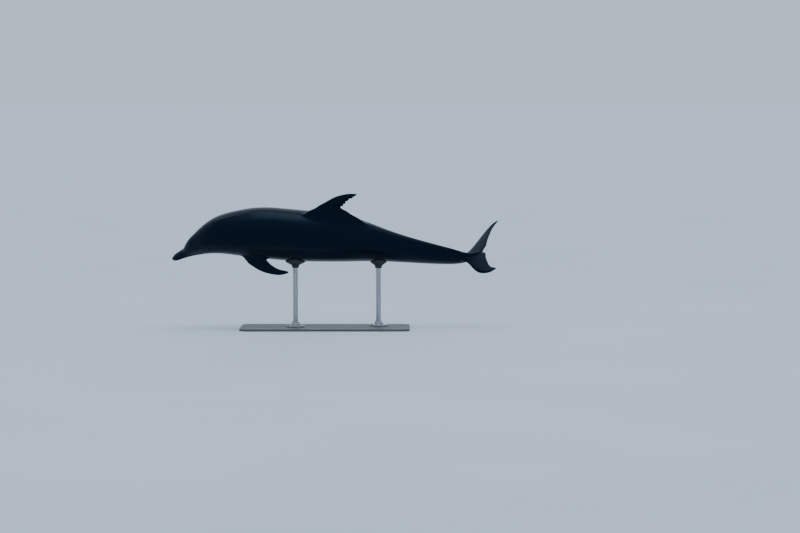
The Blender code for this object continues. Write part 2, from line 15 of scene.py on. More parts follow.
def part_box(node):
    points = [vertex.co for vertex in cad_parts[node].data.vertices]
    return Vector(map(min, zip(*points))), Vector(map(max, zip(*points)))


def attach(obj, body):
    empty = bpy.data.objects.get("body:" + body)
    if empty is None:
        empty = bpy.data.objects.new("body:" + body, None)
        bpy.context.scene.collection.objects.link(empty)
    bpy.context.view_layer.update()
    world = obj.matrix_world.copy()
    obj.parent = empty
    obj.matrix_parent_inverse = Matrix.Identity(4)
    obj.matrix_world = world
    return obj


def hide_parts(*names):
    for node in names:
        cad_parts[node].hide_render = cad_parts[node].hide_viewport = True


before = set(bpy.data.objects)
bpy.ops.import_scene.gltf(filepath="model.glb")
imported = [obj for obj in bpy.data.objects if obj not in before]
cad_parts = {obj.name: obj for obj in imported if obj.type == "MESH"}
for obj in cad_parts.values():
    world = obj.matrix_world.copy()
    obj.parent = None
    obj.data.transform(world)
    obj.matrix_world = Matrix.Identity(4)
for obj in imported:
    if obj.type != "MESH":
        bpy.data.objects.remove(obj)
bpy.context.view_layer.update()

# ---------------- The animal's shape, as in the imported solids
LENGTH = 2.80  # metres along the body, from the tip of the beak to the notch of the flukes
BEAK_TIP_REACH = 0.022  # share of LENGTH over which the tip of the beak rounds off
TAIL_TIP_REACH = 0.020

# Station, back, belly and half width in hundredths of LENGTH, then how square the section is above and below
BODY = (
    (0, 0.95, -0.75, 1.05, 2.3, 2.2),
    (2, 0.95, -0.95, 1.32, 2.3, 2.2),
    (4.5, 1.15, -1.3, 1.62, 2.2, 2.2),
    (7, 1.45, -1.85, 2.05, 2.1, 2.2),
    (10, 2.3, -2.5, 3, 2, 2.2),
    (14, 4.15, -3.7, 4.35, 2, 2.15),
    (20, 6.25, -5.85, 5.9, 2, 2.1),
    (28, 8.2, -7.55, 7, 2, 2.1),
    (38, 8.25, -8.3, 7.2, 2, 2.1),
    (48, 7.75, -8.35, 6.95, 2, 2.05),
    (58, 7.25, -7.6, 5.9, 1.95, 2),
    (68, 5.8, -5.7, 4.1, 1.85, 1.9),
    (78, 4.6, -4.25, 2.75, 1.75, 1.8),
    (86, 3.65, -3.3, 1.9, 1.7, 1.75),
    (92, 2.65, -2.25, 1.25, 1.7, 1.75),
    (96, 1.35, -1.25, 0.95, 1.8, 1.8),
    (100, 0.45, -0.45, 0.6, 2, 2),
)

# The melon, a second lobe above the beak: station, top and half width
MELON = (
    (4, 1.9, 1.7),
    (6, 2.5, 2.1),
    (9, 3.45, 2.7),
    (13, 4.6, 3.7),
    (18, 5.75, 4.9),
    (26, 7.2, 6.4),
)
MELON_START = 0.042
MELON_END = 0.26
MELON_RISE = 0.06
MELON_CREASE = 0.004
MELON_BLEND = 0.02
MELON_BLEND_START = 0.06
MELON_BLEND_REACH = 0.12
MELON_FIRST_WIDTH = 0.35
MELON_FADE = 0.08
MELON_FLANK = 0.45

# The pose: station in hundredths of LENGTH, then the spine's slope towards the tail, how far it is banked and
# how far it swings to the side, in degrees
BEND = (
    (0, 37.3), (5, 38), (10, 35.8), (16, 24.8), (22, 6.3), (30, -5.1), (40, -5.2),
    (50, -6), (58, -12.9), (66, -16.1), (76, -13.3), (86, -11.1), (91, -4.7),
    (95, 19.1), (98, 39), (106, 39.4),
)
BANK = ((0, 45), (16, 44), (34, 39), (60, 38), (84, 37.2), (106, 39.5))
SWING = ((0, 0), (86, 0), (92, 1.9), (97, 6.8), (106, 3.7))
POSED_STATION = 0.50
POSED_AT = (0.0, -0.030, 0.790)
SPINE_STEPS = 2000
SPINE_END = 1.12

# Fins: share of the way out, then in hundredths of LENGTH the front edge (along, out), rear edge, thickness
DORSAL_FIN = (
    (0, 42.3, -1.8, 62.6, -1.8, 3.1),
    (0.1, 43.75, 1.1, 59.9, 0.7, 2.2),
    (0.2, 45.25, 2.25, 57.75, 1.7, 1.7),
    (0.3, 46.6, 3.3, 55.85, 2.55, 1.45),
    (0.38, 47.55, 4.35, 54.55, 3.4, 1.3),
    (0.43, 48.25, 4.95, 53.3, 4.1, 1.2),
    (0.5, 49.15, 5.8, 53.55, 4.95, 1.1),
    (0.6, 50.2, 6.9, 54.1, 6.1, 0.95),
    (0.7, 51.45, 8.15, 54.5, 7.2, 0.8),
    (0.8, 53, 9.2, 55.45, 8.55, 0.65),
    (0.92, 54.9, 10.15, 56.05, 9.65, 0.45),
    (1, 56.35, 10.48, 56.45, 10.28, 0.2),
)
FLIPPER = (
    (0, -1.6, -2.2, 6.7, -2.2, 2.1),
    (0.15, -0.05, 0.25, 6.95, 0, 1.65),
    (0.3, 1.45, 1.95, 7.5, 1.05, 1.35),
    (0.45, 3.6, 3.4, 8.5, 2.05, 1.1),
    (0.6, 6.4, 4.8, 9.8, 3.05, 0.85),
    (0.78, 10.2, 5.65, 11.75, 3.95, 0.6),
    (0.92, 12.9, 5.55, 13.5, 4.3, 0.4),
    (1, 14.6, 4.95, 14.53, 4.5, 0.18),
)
FLIPPER_STATION = 0.250
FLIPPER_ROOT_ANGLE = 129.0
FLIPPER_DROOP = 48.0
FLUKE = (
    (0, 92.6, 0.15, 100.35, 0.1, 1.1),
    (0.12, 94.25, 2.1, 101.25, 1.1, 0.95),
    (0.3, 95.7, 4.05, 101.6, 3.2, 0.8),
    (0.5, 97.3, 6.35, 102.4, 5.75, 0.65),
    (0.7, 99.65, 8.6, 103.3, 7.85, 0.5),
    (0.85, 102.2, 10, 104.35, 9.05, 0.38),
    (0.95, 104.2, 10.5, 105.1, 9.7, 0.26),
    (1, 105.6, 10.45, 105.72, 10.28, 0.14),
)
FLUKE_DROP = 0.6  # how far the flukes' tips curl down
FIN_REAR_EDGE = 0.0011
FIN_TIP_REACH = 0.018  # share of the way out over which a fin's tip rounds off
FIN_TIP_CHORD = 0.12  # share of the chord left at the very end

# The line of the closed mouth: station and height, in hundredths of LENGTH
MOUTH_LINE = ((0, 0.12), (2, 0), (4.5, -0.26), (7.5, -0.68), (10, -0.92), (11.4, -0.8), (12.1, -0.42))
EYE_STATION = 0.147
EYE_ANGLE = radians(88.0)  # from the back
EYE_RADIUS = 0.0175
EYE_DEPTH = 0.0128
HOLE_STATION = 0.157
HOLE_HALF_SPAN = 0.030
HOLE_SAG = 0.013

# ---------------- The skin's own grid
SKIN_INSET = 0.0006  # metres, so that the smooth skin lies inside the faceted solids' corners
COLUMNS = 128  # points round the body
COLUMN = 2 * pi / COLUMNS
SEAM_COLUMN = -56  # the first column, counted from the back: just left of the belly
# Stretches of rings: from, to, spacing in metres
RING_STRETCHES = (
    (0.022, 0.20, 0.0045),
    (0.20, 0.40, 0.013),
    (0.40, 0.66, 0.012),
    (0.66, 0.90, 0.013),
    (0.90, 0.98, 0.006),
)
TIP_RINGS = 14
FIRST_TIP_RING = 0.35  # in steps from the beak's tip, which is closed by a point
END_RINGS = 12

# Where a fin leaves the body: its opening's stations, middle column and half width in columns, and how round
# front and rear are; then the share of the way out where its fillet ends, and the rings from there on
Root = namedtuple("Root", "opening middle half roundness join rings")
FIN_ROOTS = {
    "dorsal_fin": Root((0.418, 0.632), 0, 7, (1, 1), 0.2, 92),
    "flipper_left": Root((0.236, 0.34), -46, 6, (1, 1), 0.36, 34),
    "flipper_right": Root((0.236, 0.34), 46, 6, (1, 1), 0.36, 34),
    "fluke_left": Root((0.912, 0.9985), -32, 14, (1, 0), 0.2, 34),
    "fluke_right": Root((0.912, 0.9985), 32, 14, (1, 0), 0.2, 34),
}
FIN_TABLES = {"dorsal": DORSAL_FIN, "flipper": FLIPPER, "fluke": FLUKE}
FILLET_RINGS = 14
LEAVING = 1.5  # how strongly a fillet leaves the body
MOST_LEAVING = 0.6  # girths over which a fillet may follow the body round
ROUNDING_REACH = 0.8  # how far round an opening the grid follows its rounding, in half openings
BUNCHING = 1.35  # how strongly a fin's rings crowd towards its tip
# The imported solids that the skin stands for
FLESH = (
    *("upper_beak", "lower_jaw", "melon", "head", "blowhole", "neck"),
    *("trunk_front", "trunk_middle", "trunk_rear", "tail_stock_front", "tail_stock_rear"),
    *FIN_ROOTS,
)

# Within how many metres of a feature the grid is made finer
FINE_EYE = 0.024
FINE_LIDS = 0.0125
LID_OVAL = 1.25
FINE_MOUTH = 0.007
FINE_HOLE = 0.034
FINE_HOLE_SLIT = 0.006
HOLE_BACK, HOLE_OVAL = 0.006, 0.8  # where that patch's middle lies behind the blowhole, and how short it is
FINE_SLITS = 0.013
BEAK_SIDES = 0.6  # the most of the beak's radius that this takes, to stay clear of the grid's seam
MOUTH_SPAN = (0.002, 0.345)  # metres from the beak's tip
SLITS_MIDDLE = 0.635
SLITS_HALF_SPAN = 0.105
# The body's radius in metres at a few places, which turns angles round it into distances
LID_RADIUS = 0.122
EAR_RADIUS = 0.135
SLITS_RADIUS = 0.17
TRUNK_RADIUS = 0.19

# ---------------- Relief of the skin: folds as the height, place and width of each across a line, in metres
MOUTH_GROOVE = ((-0.0042, 0.0, 0.0020),)
LIPS = ((0.001625, 0.0046, 0.0034), (0.0013, -0.0044, 0.0030))
TIP_OF_GROOVE = 0.012  # metres over which the groove's part round the beak's tip fades out
GROOVE_GROWS = (0.004, 0.010)  # from, over
LIPS_GROW = (0.002, 0.030)
CORNER_OVERRUN, CORNER_FADE = 0.004, 0.014
CHEEK_ALONG = ((0.0022, 0.014, 0.012),)  # behind the mouth's corner
CHEEK_ABOVE = ((1.0, 0.003, 0.014),)
HOLE_FOLDS = (
    (-0.0055, 0.0, 0.0021),  # the slit
    (-0.0022, -0.008, 0.006),  # the dish ahead of it
    (0.0018, 0.006, 0.0045),  # the lip behind it
    (0.0010, -0.019, 0.006),  # the dish's front rim
)
HOLE_FADE = 0.010
EAR_STATION = 0.166
EAR_ANGLE = radians(93)
EAR = ((-0.0022, 0.0, 0.0020), (0.0005, 0.005, 0.003))
NAPE = (0.166, 0.03, 0.40, 0.16)  # start, rise, end and fall
NAPE_RIDGE = ((0.0042, 0.0, 0.015),)
THROAT = ((1.0, 0.195, 0.035),)
THROAT_GROWS = (1.65, 0.7)  # radians from the back
FOLD_HEIGHT = 0.0003
FOLD_SPACING = 0.034
FOLD_BOW = 0.02
NAVEL_STATION = 0.455
NAVEL_STRETCH = 2.2
NAVEL = ((-0.0030, 0.0, 0.006),)
# Genital slit and vent: middle, half length and fade of the ends, then the folds across it
BELLY_SLITS = (
    (0.622, 0.050, 0.012, ((0.0014, 0.010, 0.007), (-0.0050, 0.0, 0.0030))),
    (0.668, 0.012, 0.008, ((0.0010, 0.009, 0.006), (-0.0038, 0.0, 0.0028))),
)
STOCK = (0.60, 0.14, 0.93, 0.06)  # start, rise, end and fall
STOCK_HOLLOW = ((-0.0022, radians(92), 0.30),)  # across the angle from the back

# The eye's opening, and the folds round it across multiples of its size
LID_THICKNESS = 0.0016
LID_HALF_LENGTH = 0.0128
LID_TALL_ABOVE = 0.00777
LID_TALL_BELOW = 0.00666
LID_SLANT = 0.10
LID_SOFTNESS = 0.006
LID_FOLDS = ((0.0008, 1.16, 0.10), (-0.0010, 1.75, 0.19), (0.0006, 2.15, 0.24))
UPPER_LID_FOLD = ((-0.0007, 2.75, 0.30),)
UPPER_LID_RISE = 0.012
OPENING_EDGE, OPENING_FADE = 1.04, 0.14
SOCKET_REACH = 0.055
SOCKET_DEPTH = 0.02
BALL_CLEARANCE = 0.0028  # by which the skin passes behind the eyeball's face

# Old nicks in the dorsal fin's rear edge: share of the way out, depth in metres
NICKS = ((0.485, 0.007), (0.565, 0.011), (0.665, 0.009), (0.765, 0.012), (0.850, 0.006))
NICK_WIDTH = 0.015
NICK_START = 0.78  # share of the chord from which a nick bends the fin's side
# A fin's thickness: how its ends thin out, and how thin it may get
REAR_REACH = 0.02
TIP_THICKNESS = 0.25
TIP_THINNING = 0.05
FIN_INSET = 0.0003
LEAST_HALF = 0.0005
LEAST_REACH = 0.01
SMALL = 1e-4  # a step for measuring slopes, as a station or in radians


# ---------------- Curves and surfaces
def spline(knots, values):
    """A natural cubic spline through the knots, as a function that holds its end values beyond them."""
    knots, values = np.array([knots, values], float)
    steps = np.diff(knots)
    slopes = np.diff(values) / steps
    count = len(knots)
    matrix = np.eye(count)
    right = np.zeros(count)
    for i in range(1, count - 1):
        matrix[i, i - 1 : i + 2] = steps[i - 1], 2 * (steps[i - 1] + steps[i]), steps[i]
        right[i] = 6 * (slopes[i] - slopes[i - 1])
    curvature = np.linalg.solve(matrix, right)

    def value(at):
        at = np.clip(np.asarray(at, float), knots[0], knots[-1])
        i = np.clip(np.searchsorted(knots, at, side="right") - 1, 0, count - 2)
        t = at - knots[i]
        start = slopes[i] - steps[i] * (2 * curvature[i] + curvature[i + 1]) / 6
        bend = (curvature[i + 1] - curvature[i]) / (6 * steps[i])
        return values[i] + t * (start + t * (curvature[i] / 2 + t * bend))

    return value


def columns(table, knot_unit, unit):
    """One spline over a table's first column for each of the others."""
    rows = np.array(table).T
    return [spline(rows[0] * knot_unit, row * unit) for row in rows[1:]]


def round_off(distance, reach):
    """0 at an end, growing to 1 along a quarter circle."""
    t = np.clip(np.asarray(distance, float) / reach, 0, 1)
    return np.sqrt(1 - (1 - t) ** 2)


def smooth_step(t):
    t = np.clip(t, 0, 1)
    return t * t * (3 - 2 * t)


def grow(at, start, reach):
    """0 up to start, growing smoothly to 1 over reach."""
    return smooth_step((at - start) / reach)


def stretch(at, start, rise, end, fall):
    """1 from start to end, growing from 0 over rise and shrinking to it over fall."""
    return smooth_step((at - start) / rise) * smooth_step((end - at) / fall)


def smooth_max(a, b, softness):
    h = np.maximum(softness - np.abs(a - b), 0) / softness
    return np.maximum(a, b) + h * h * softness / 4


def bell(distance, width):
    return np.exp(-((distance / width) ** 2))


def folds(distance, table):
    """Ridges and furrows side by side, from the height, place and width of each along a distance."""
    return sum(height * bell(distance - place, width) for height, place, width in table)


def unit(vectors):
    return vectors / np.maximum(np.linalg.norm(vectors, axis=-1, keepdims=True), 1e-12)


def from_back(angle):
    """How far an angle lies from the back to either side, in radians up to pi at the belly."""
    return np.abs((angle + pi) % (2 * pi) - pi)


BACK, BELLY, HALF_WIDTH = columns(BODY, 0.01, 0.01)[:3]
SQUARE_ABOVE, SQUARE_BELOW = columns(BODY, 0.01, 1.0)[3:]
MELON_TOP, MELON_HALF = columns(MELON, 0.01, 0.01)
MOUTH_HEIGHT = columns(MOUTH_LINE, LENGTH / 100, LENGTH / 100)[0]


def body_point(station, angle):
    """A point of the straight body's surface. The angle starts at the back and turns to the right."""
    station, angle = np.broadcast_arrays(np.asarray(station, float), np.asarray(angle, float))
    back = BACK(station)
    belly = BELLY(station)
    middle = (back + belly) / 2
    across = np.abs(np.sin(angle))
    along = np.cos(angle)
    square = np.where(along > 0, SQUARE_ABOVE(station), SQUARE_BELOW(station))
    tall = (back - belly) / 2
    radius = ((across / HALF_WIDTH(station)) ** square + (np.abs(along) / tall) ** square) ** (-1 / square)
    radius = radius * round_off(station, BEAK_TIP_REACH) * round_off(1 - station, TAIL_TIP_REACH)
    rise = round_off(station - MELON_START, MELON_RISE)
    melon_tall = np.maximum((MELON_TOP(station) - middle) * rise, 1e-6)
    melon_half = MELON_HALF(station) * (MELON_FIRST_WIDTH + (1 - MELON_FIRST_WIDTH) * rise)
    melon = ((across / melon_half) ** 2 + (along / melon_tall) ** 2) ** -0.5
    softness = MELON_CREASE + MELON_BLEND * np.clip((station - MELON_BLEND_START) / MELON_BLEND_REACH, 0, 1)
    blend = smooth_step((MELON_END - station) / MELON_FADE) * smooth_step(along / MELON_FLANK)
    blend = np.where(station > MELON_START, blend, 0)
    radius = radius + blend * (smooth_max(radius, melon, softness) - radius)
    reach = radius * LENGTH
    return np.stack([station * LENGTH, reach * np.sin(angle), middle * LENGTH + reach * along], axis=-1)


def body_normal(station, angle):
    ahead = body_point(np.maximum(station - SMALL, 0), angle)
    behind = body_point(np.minimum(station + SMALL, 1), angle)
    around = body_point(station, angle + SMALL) - body_point(station, angle - SMALL)
    return unit(np.cross(behind - ahead, around))


def spine():
    """Distance along the body, and there the posed spine's place, slope, bank and swing."""
    station = np.linspace(0, SPINE_END, SPINE_STEPS + 1)
    slope, bank, swing = (columns(table, 0.01, radians(1))[0](station) for table in (BEND, BANK, SWING))
    heading = np.stack([np.cos(swing) * np.cos(slope), -np.sin(swing), np.cos(swing) * np.sin(slope)])
    step = np.diff(station) * LENGTH
    travel = np.cumsum((heading[:, 1:] + heading[:, :-1]) / 2 * step, axis=1)
    along, sideways, height = np.concatenate([np.zeros((3, 1)), travel], axis=1)
    return station * LENGTH, along, sideways, height, slope, bank, swing


SPINE = spine()


def bend(points):
    """Points of the straight body, bent and banked but not yet placed."""
    at, right, out = np.moveaxis(np.asarray(points, float), -1, 0)
    along, sideways, height, slope, bank, swing = (np.interp(at, SPINE[0], row) for row in SPINE[1:])
    x = along - np.sin(slope) * out + np.sin(swing) * np.cos(slope) * right
    side = sideways + np.cos(swing) * right
    up = height + np.cos(slope) * out + np.sin(swing) * np.sin(slope) * right
    y = side * np.cos(bank) - up * np.sin(bank)
    z = side * np.sin(bank) + up * np.cos(bank)
    return np.stack([x, y, z], axis=-1)


def pose(points):
    """Points of the straight body where they lie on the finished model."""
    return bend(points) - bend((POSED_STATION * LENGTH, 0, 0)) + np.array(POSED_AT)


# ---------------- Relief of the skin
def mouth_relief(point):
    """The closed mouth: a groove between two soft lips, running out at its corner below the eye."""
    x, y, z = point.T
    corner = MOUTH_LINE[-1][0] / 100 * LENGTH
    above = z - MOUTH_HEIGHT(x)
    beside_tip = smooth_step((np.abs(y) + TIP_OF_GROOVE - x) / TIP_OF_GROOVE)
    begun = np.clip(beside_tip + grow(x, *GROOVE_GROWS), 0, 1)
    here = begun * smooth_step((corner + CORNER_OVERRUN - x) / CORNER_FADE)
    swell = grow(x, *LIPS_GROW)
    cheek = folds(x - corner, CHEEK_ALONG) * folds(above, CHEEK_ABOVE)
    return here * (folds(above, MOUTH_GROOVE) + swell * folds(above, LIPS)) + cheek


def slit_distance(point):
    """How far points of the straight animal lie behind the blowhole's crescent, measured along the body."""
    sag = HOLE_SAG * (1 - (point[:, 1] / HOLE_HALF_SPAN) ** 2)
    return point[:, 0] - HOLE_STATION * LENGTH - sag


def blowhole_relief(point):
    """A crescent slit across the head, hollow side forward, in a shallow dish with a raised lip."""
    ends = smooth_step((HOLE_HALF_SPAN - np.abs(point[:, 1])) / HOLE_FADE) * (point[:, 2] > 0)
    return ends * folds(slit_distance(point), HOLE_FOLDS)


def body_relief(station, angle, point):
    """Everything that stands out from or sinks into the plain body, except the eyes."""
    x = point[:, 0]
    turn = from_back(angle)
    relief = mouth_relief(point) + blowhole_relief(point)
    # the ear's pinhole
    relief += folds(np.hypot(x - EAR_STATION * LENGTH, (turn - EAR_ANGLE) * EAR_RADIUS), EAR)
    # the low ridge along the nape, from the blowhole back
    relief += stretch(station, *NAPE) * folds(turn * TRUNK_RADIUS, NAPE_RIDGE)
    # folds where the throat bends
    throat = folds(station, THROAT) * grow(turn, *THROAT_GROWS)
    phase = (x + FOLD_BOW * np.cos(2 * turn)) / FOLD_SPACING
    relief += FOLD_HEIGHT * throat * np.sin(2 * pi * phase)
    # navel, genital slit and vent along the belly
    width = (pi - turn) * TRUNK_RADIUS
    relief += folds(np.hypot((x - NAVEL_STATION * LENGTH) / NAVEL_STRETCH, width), NAVEL)
    for middle, half_length, fade, across in BELLY_SLITS:
        relief += smooth_step((half_length - np.abs(x - middle * LENGTH)) / fade) * folds(width, across)
    # the long hollow between the tail stock's upper and lower muscles
    relief += stretch(station, *STOCK) * folds(turn, STOCK_HOLLOW)
    return relief


def eye_frame(sign):
    """The eye's centre on the posed model, and its directions towards the tail, up and out."""

    def skin_at(station, angle):
        return pose(body_point(EYE_STATION + station, sign * EYE_ANGLE + angle))

    skin = skin_at(0, 0)
    along = skin_at(SMALL, 0) - skin_at(-SMALL, 0)
    around = skin_at(0, SMALL) - skin_at(0, -SMALL)
    out = unit(np.cross(along, around))
    out = out * np.sign(out @ (skin - pose((EYE_STATION * LENGTH, 0, 0))))
    tailward = unit(along - (along @ out) * out)
    up = np.cross(out, tailward)
    up = up * np.sign(up @ (-sign * around))
    return skin - EYE_DEPTH * out, tailward, up, out


def lid_edge(along, above):
    """1 on the edge of the almond-shaped opening between the lids, less inside it."""
    slanted = above + LID_SLANT * along
    tall = np.where(slanted > 0, LID_TALL_ABOVE, LID_TALL_BELOW)
    return np.sqrt((along / LID_HALF_LENGTH) ** 2 + (slanted / tall) ** 2)


def close_lids(points):
    """Draws the posed skin over both eyeballs, with lids, their margins and a fold round them."""
    for sign in (-1, 1):
        centre, tailward, up, out = eye_frame(sign)
        offset = points - centre
        along, above, height = offset @ tailward, offset @ up, offset @ out
        near = (np.hypot(along, above) < SOCKET_REACH) & (height > -SOCKET_DEPTH)
        along, above, height = along[near], above[near], height[near]
        reach = np.hypot(along, above)
        edge = lid_edge(along, above)
        ball = np.sqrt(np.maximum((EYE_RADIUS + LID_THICKNESS) ** 2 - reach**2, 0))
        lid = smooth_max(height, ball, LID_SOFTNESS) + folds(edge, LID_FOLDS)
        lid += folds(edge, UPPER_LID_FOLD) * smooth_step(above / UPPER_LID_RISE)
        inside = np.sqrt(np.maximum(EYE_RADIUS**2 - reach**2, 0)) - BALL_CLEARANCE
        opened = smooth_step((OPENING_EDGE - edge) / OPENING_FADE)
        moved = lid * (1 - opened) + inside * opened
        points[near] += (moved - height)[:, None] * out
    return points


# ---------------- Building the skin
def ring_stations():
    step = pi / 2 / TIP_RINGS
    stations = [BEAK_TIP_REACH * (1 - cos((i + FIRST_TIP_RING) * step)) for i in range(TIP_RINGS)]
    for start, end, spacing in RING_STRETCHES:
        count = max(round((end - start) * LENGTH / spacing), 1)
        stations += list(np.linspace(start, end, count, endpoint=False))
    step = pi / 2 / END_RINGS
    stations += [1 - TAIL_TIP_REACH * (1 - sin(i * step)) for i in range(END_RINGS)]
    return np.array(stations)


def root_loop(stations, name):
    """Grid places round the opening for a fin, from the middle of its front towards the higher columns."""
    root = FIN_ROOTS[name]
    i0, i1 = (int(np.argmin(np.abs(stations - s))) for s in root.opening)
    jc = root.middle - SEAM_COLUMN
    j0, j1 = jc - root.half, jc + root.half
    loop = [(i0, j) for j in range(jc, j1 + 1)]
    loop += [(i, j1) for i in range(i0 + 1, i1 + 1)]
    loop += [(i1, j) for j in range(j1 - 1, j0 - 1, -1)]
    loop += [(i, j0) for i in range(i1 - 1, i0 - 1, -1)]
    loop += [(i0, j) for j in range(j0 + 1, jc)]
    return loop, (i0, i1, j0, j1)


def round_openings(stations, grid):
    """Draws the grid round each fin's opening in from a rectangle towards an ellipse."""
    for name, root in FIN_ROOTS.items():
        i0, i1, _, _ = root_loop(stations, name)[1]
        centre = np.array([(stations[i0] + stations[i1]) / 2, root.middle * COLUMN])
        size = np.array([(stations[i1] - stations[i0]) / 2, root.half * COLUMN])
        place = (grid - centre) / size
        reach = np.abs(place).max(axis=1, keepdims=True)
        edge = place / reach
        ellipse = edge * np.sqrt(1 - edge[:, ::-1] ** 2 / 2)
        near = smooth_step((1 + ROUNDING_REACH - reach) / ROUNDING_REACH)
        amount = np.where(place[:, :1] < 0, *root.roundness) * near
        grid = grid + amount * (ellipse - edge) * size
    return grid


def refine(bm, wanted):
    """Halves the grid wherever wanted(station, angle) holds at a face's middle."""
    middles = np.array([face.calc_center_median()[:2] for face in bm.faces])
    chosen = wanted(middles[:, 0], middles[:, 1])
    edges = dict.fromkeys(edge for face, take in zip(bm.faces, chosen) if take for edge in face.edges)
    bmesh.ops.subdivide_edges(bm, edges=list(edges), cuts=1, use_grid_fill=True)


def near_features(scale):
    """Which places lie within a scaled distance of eyes, mouth, blowhole and belly slits."""

    def wanted(station, angle):
        point = body_point(station, angle)
        x, y, z = point.T
        turn = from_back(angle)
        radius = np.hypot(y, z)
        eye = np.hypot(x - EYE_STATION * LENGTH, (turn - EYE_ANGLE) * radius) < FINE_EYE * scale
        band = np.minimum(FINE_MOUTH * scale, BEAK_SIDES * radius)
        mouth = (np.abs(z - MOUTH_HEIGHT(x)) < band) & (x > MOUTH_SPAN[0]) & (x < MOUTH_SPAN[1])
        hole = np.hypot((x - HOLE_STATION * LENGTH - HOLE_BACK) / HOLE_OVAL, y) < FINE_HOLE * scale
        slits = np.abs(x - SLITS_MIDDLE * LENGTH) < SLITS_HALF_SPAN
        slits &= (pi - turn) * SLITS_RADIUS < FINE_SLITS * scale
        return eye | mouth | (hole & (z > 0)) | slits

    return wanted


def near_openings(station, angle):
    """Which places lie at the lids or along the blowhole's slit."""
    along = (station - EYE_STATION) * LENGTH
    lids = np.hypot(along / LID_OVAL, (from_back(angle) - EYE_ANGLE) * LID_RADIUS) < FINE_LIDS
    point = body_point(station, angle)
    slit = np.abs(slit_distance(point)) < FINE_HOLE_SLIT
    slit &= (np.abs(point[:, 1]) < HOLE_HALF_SPAN) & (point[:, 2] > 0)
    return lids | slit


def body_grid(stations):
    """The body as a grid over station and angle, open for the fins and finer at its features."""
    bm = bmesh.new()
    angles = (np.arange(COLUMNS) + SEAM_COLUMN) * COLUMN
    rows = [[bm.verts.new((s, a, 0)) for a in angles] for s in stations]
    blocks = {name: root_loop(stations, name) for name in FIN_ROOTS}
    opened = np.zeros((len(stations) - 1, COLUMNS), bool)
    for _, (i0, i1, j0, j1) in blocks.values():
        opened[i0:i1, j0:j1] = True
    seam = []
    for i, j in zip(*np.nonzero(~opened)):
        k = (j + 1) % COLUMNS
        if k:
            bm.faces.new((rows[i][j], rows[i][k], rows[i + 1][k], rows[i + 1][j]))
        else:
            seam.append(((i, j), (i, k), (i + 1, k), (i + 1, j)))
    for scale in (1.5, 1.0):
        refine(bm, near_features(scale))
    refine(bm, near_openings)
    bmesh.ops.delete(bm, geom=[v for v in bm.verts if not v.link_faces], context="VERTS")
    bm.verts.index_update()
    grid = np.array([v.co[:2] for v in bm.verts])
    faces = [[v.index for v in face.verts] for face in bm.faces]
    bm.free()
    row = np.argmin(np.abs(grid[:, :1] - stations), axis=1)
    column = np.rint(grid[:, 1] / COLUMN).astype(int) - SEAM_COLUMN
    on_grid = (np.abs(stations[row] - grid[:, 0]) < 1e-6) & (np.abs(angles[column] - grid[:, 1]) < 1e-5)
    place = np.full((len(stations), COLUMNS), -1)
    place[row[on_grid], column[on_grid]] = np.nonzero(on_grid)[0]
    faces += [[int(place[corner]) for corner in corners] for corners in seam]
    roots = {name: [int(place[corner]) for corner in loop] for name, (loop, _) in blocks.items()}
    return round_openings(stations, grid), faces, roots, [place[0], place[-1]]


def wing_section(t):
    """Half thickness of a fin at a share of its chord, 1 at its thickest: the NACA four-digit section."""
    return 2.969 * np.sqrt(t) - 1.26 * t - 3.516 * t**2 + 2.843 * t**3 - 1.036 * t**4


def fin_place(name, ring):
    """A fin's own along, out and thickness as points of the straight animal."""
    along, out, thick = ring.T
    sign = -1 if name.endswith("left") else 1
    if name == "dorsal_fin":
        return np.stack([along, thick, BACK(along / LENGTH) * LENGTH + out], axis=1)
    if name.startswith("fluke"):
        tip = FLUKE[-1][2] * LENGTH / 100
        return np.stack([along, sign * out, thick - FLUKE_DROP * LENGTH / 100 * (out / tip) ** 2], axis=1)
    droop = radians(FLIPPER_DROOP)
    root = body_point(FLIPPER_STATION, sign * radians(FLIPPER_ROOT_ANGLE))
    outward = np.array([0, sign * cos(droop), -sin(droop)])
    flat = np.cross([1, 0, 0], outward)
    return root + along[:, None] * np.array([1, 0, 0]) + out[:, None] * outward + thick[:, None] * flat


def fin_ring(name, share, count, turn):
    """One ring of a fin from its front edge round: its points on the straight animal, and along and out."""
    table = FIN_TABLES[name.split("_")[0]]
    front_x, front_out, rear_x, rear_out, thickness = (f(share) for f in columns(table, 1.0, LENGTH / 100))
    k = np.arange(count)
    chord = (1 - np.cos(pi * np.minimum(k, count - k) / (count / 2))) / 2
    kept = FIN_TIP_CHORD + (1 - FIN_TIP_CHORD) * round_off(1 - share, FIN_TIP_REACH)
    side = np.sign(count / 2 - k) * (k > 0) * turn
    rear = round_off(1 - chord, REAR_REACH)
    half = thickness / 2 * wing_section(chord) + FIN_REAR_EDGE * chord * rear
    half = half * (TIP_THICKNESS + (1 - TIP_THICKNESS) * round_off(1.0 - share, TIP_THINNING))
    least = LEAST_HALF * round_off(1 - chord, LEAST_REACH) * round_off(chord, LEAST_REACH)
    half = np.maximum(half - FIN_INSET, least)
    place = 0.5 + (chord - 0.5) * kept
    along = front_x + place * (rear_x - front_x)
    if name == "dorsal_fin":
        nick = sum(depth * bell(share - at, NICK_WIDTH) for at, depth in NICKS)
        along = along - nick * grow(chord, NICK_START, 1 - NICK_START)
    out = front_out + place * (rear_out - front_out)
    return fin_place(name, np.stack([along, out, side * half], axis=1)), along, out


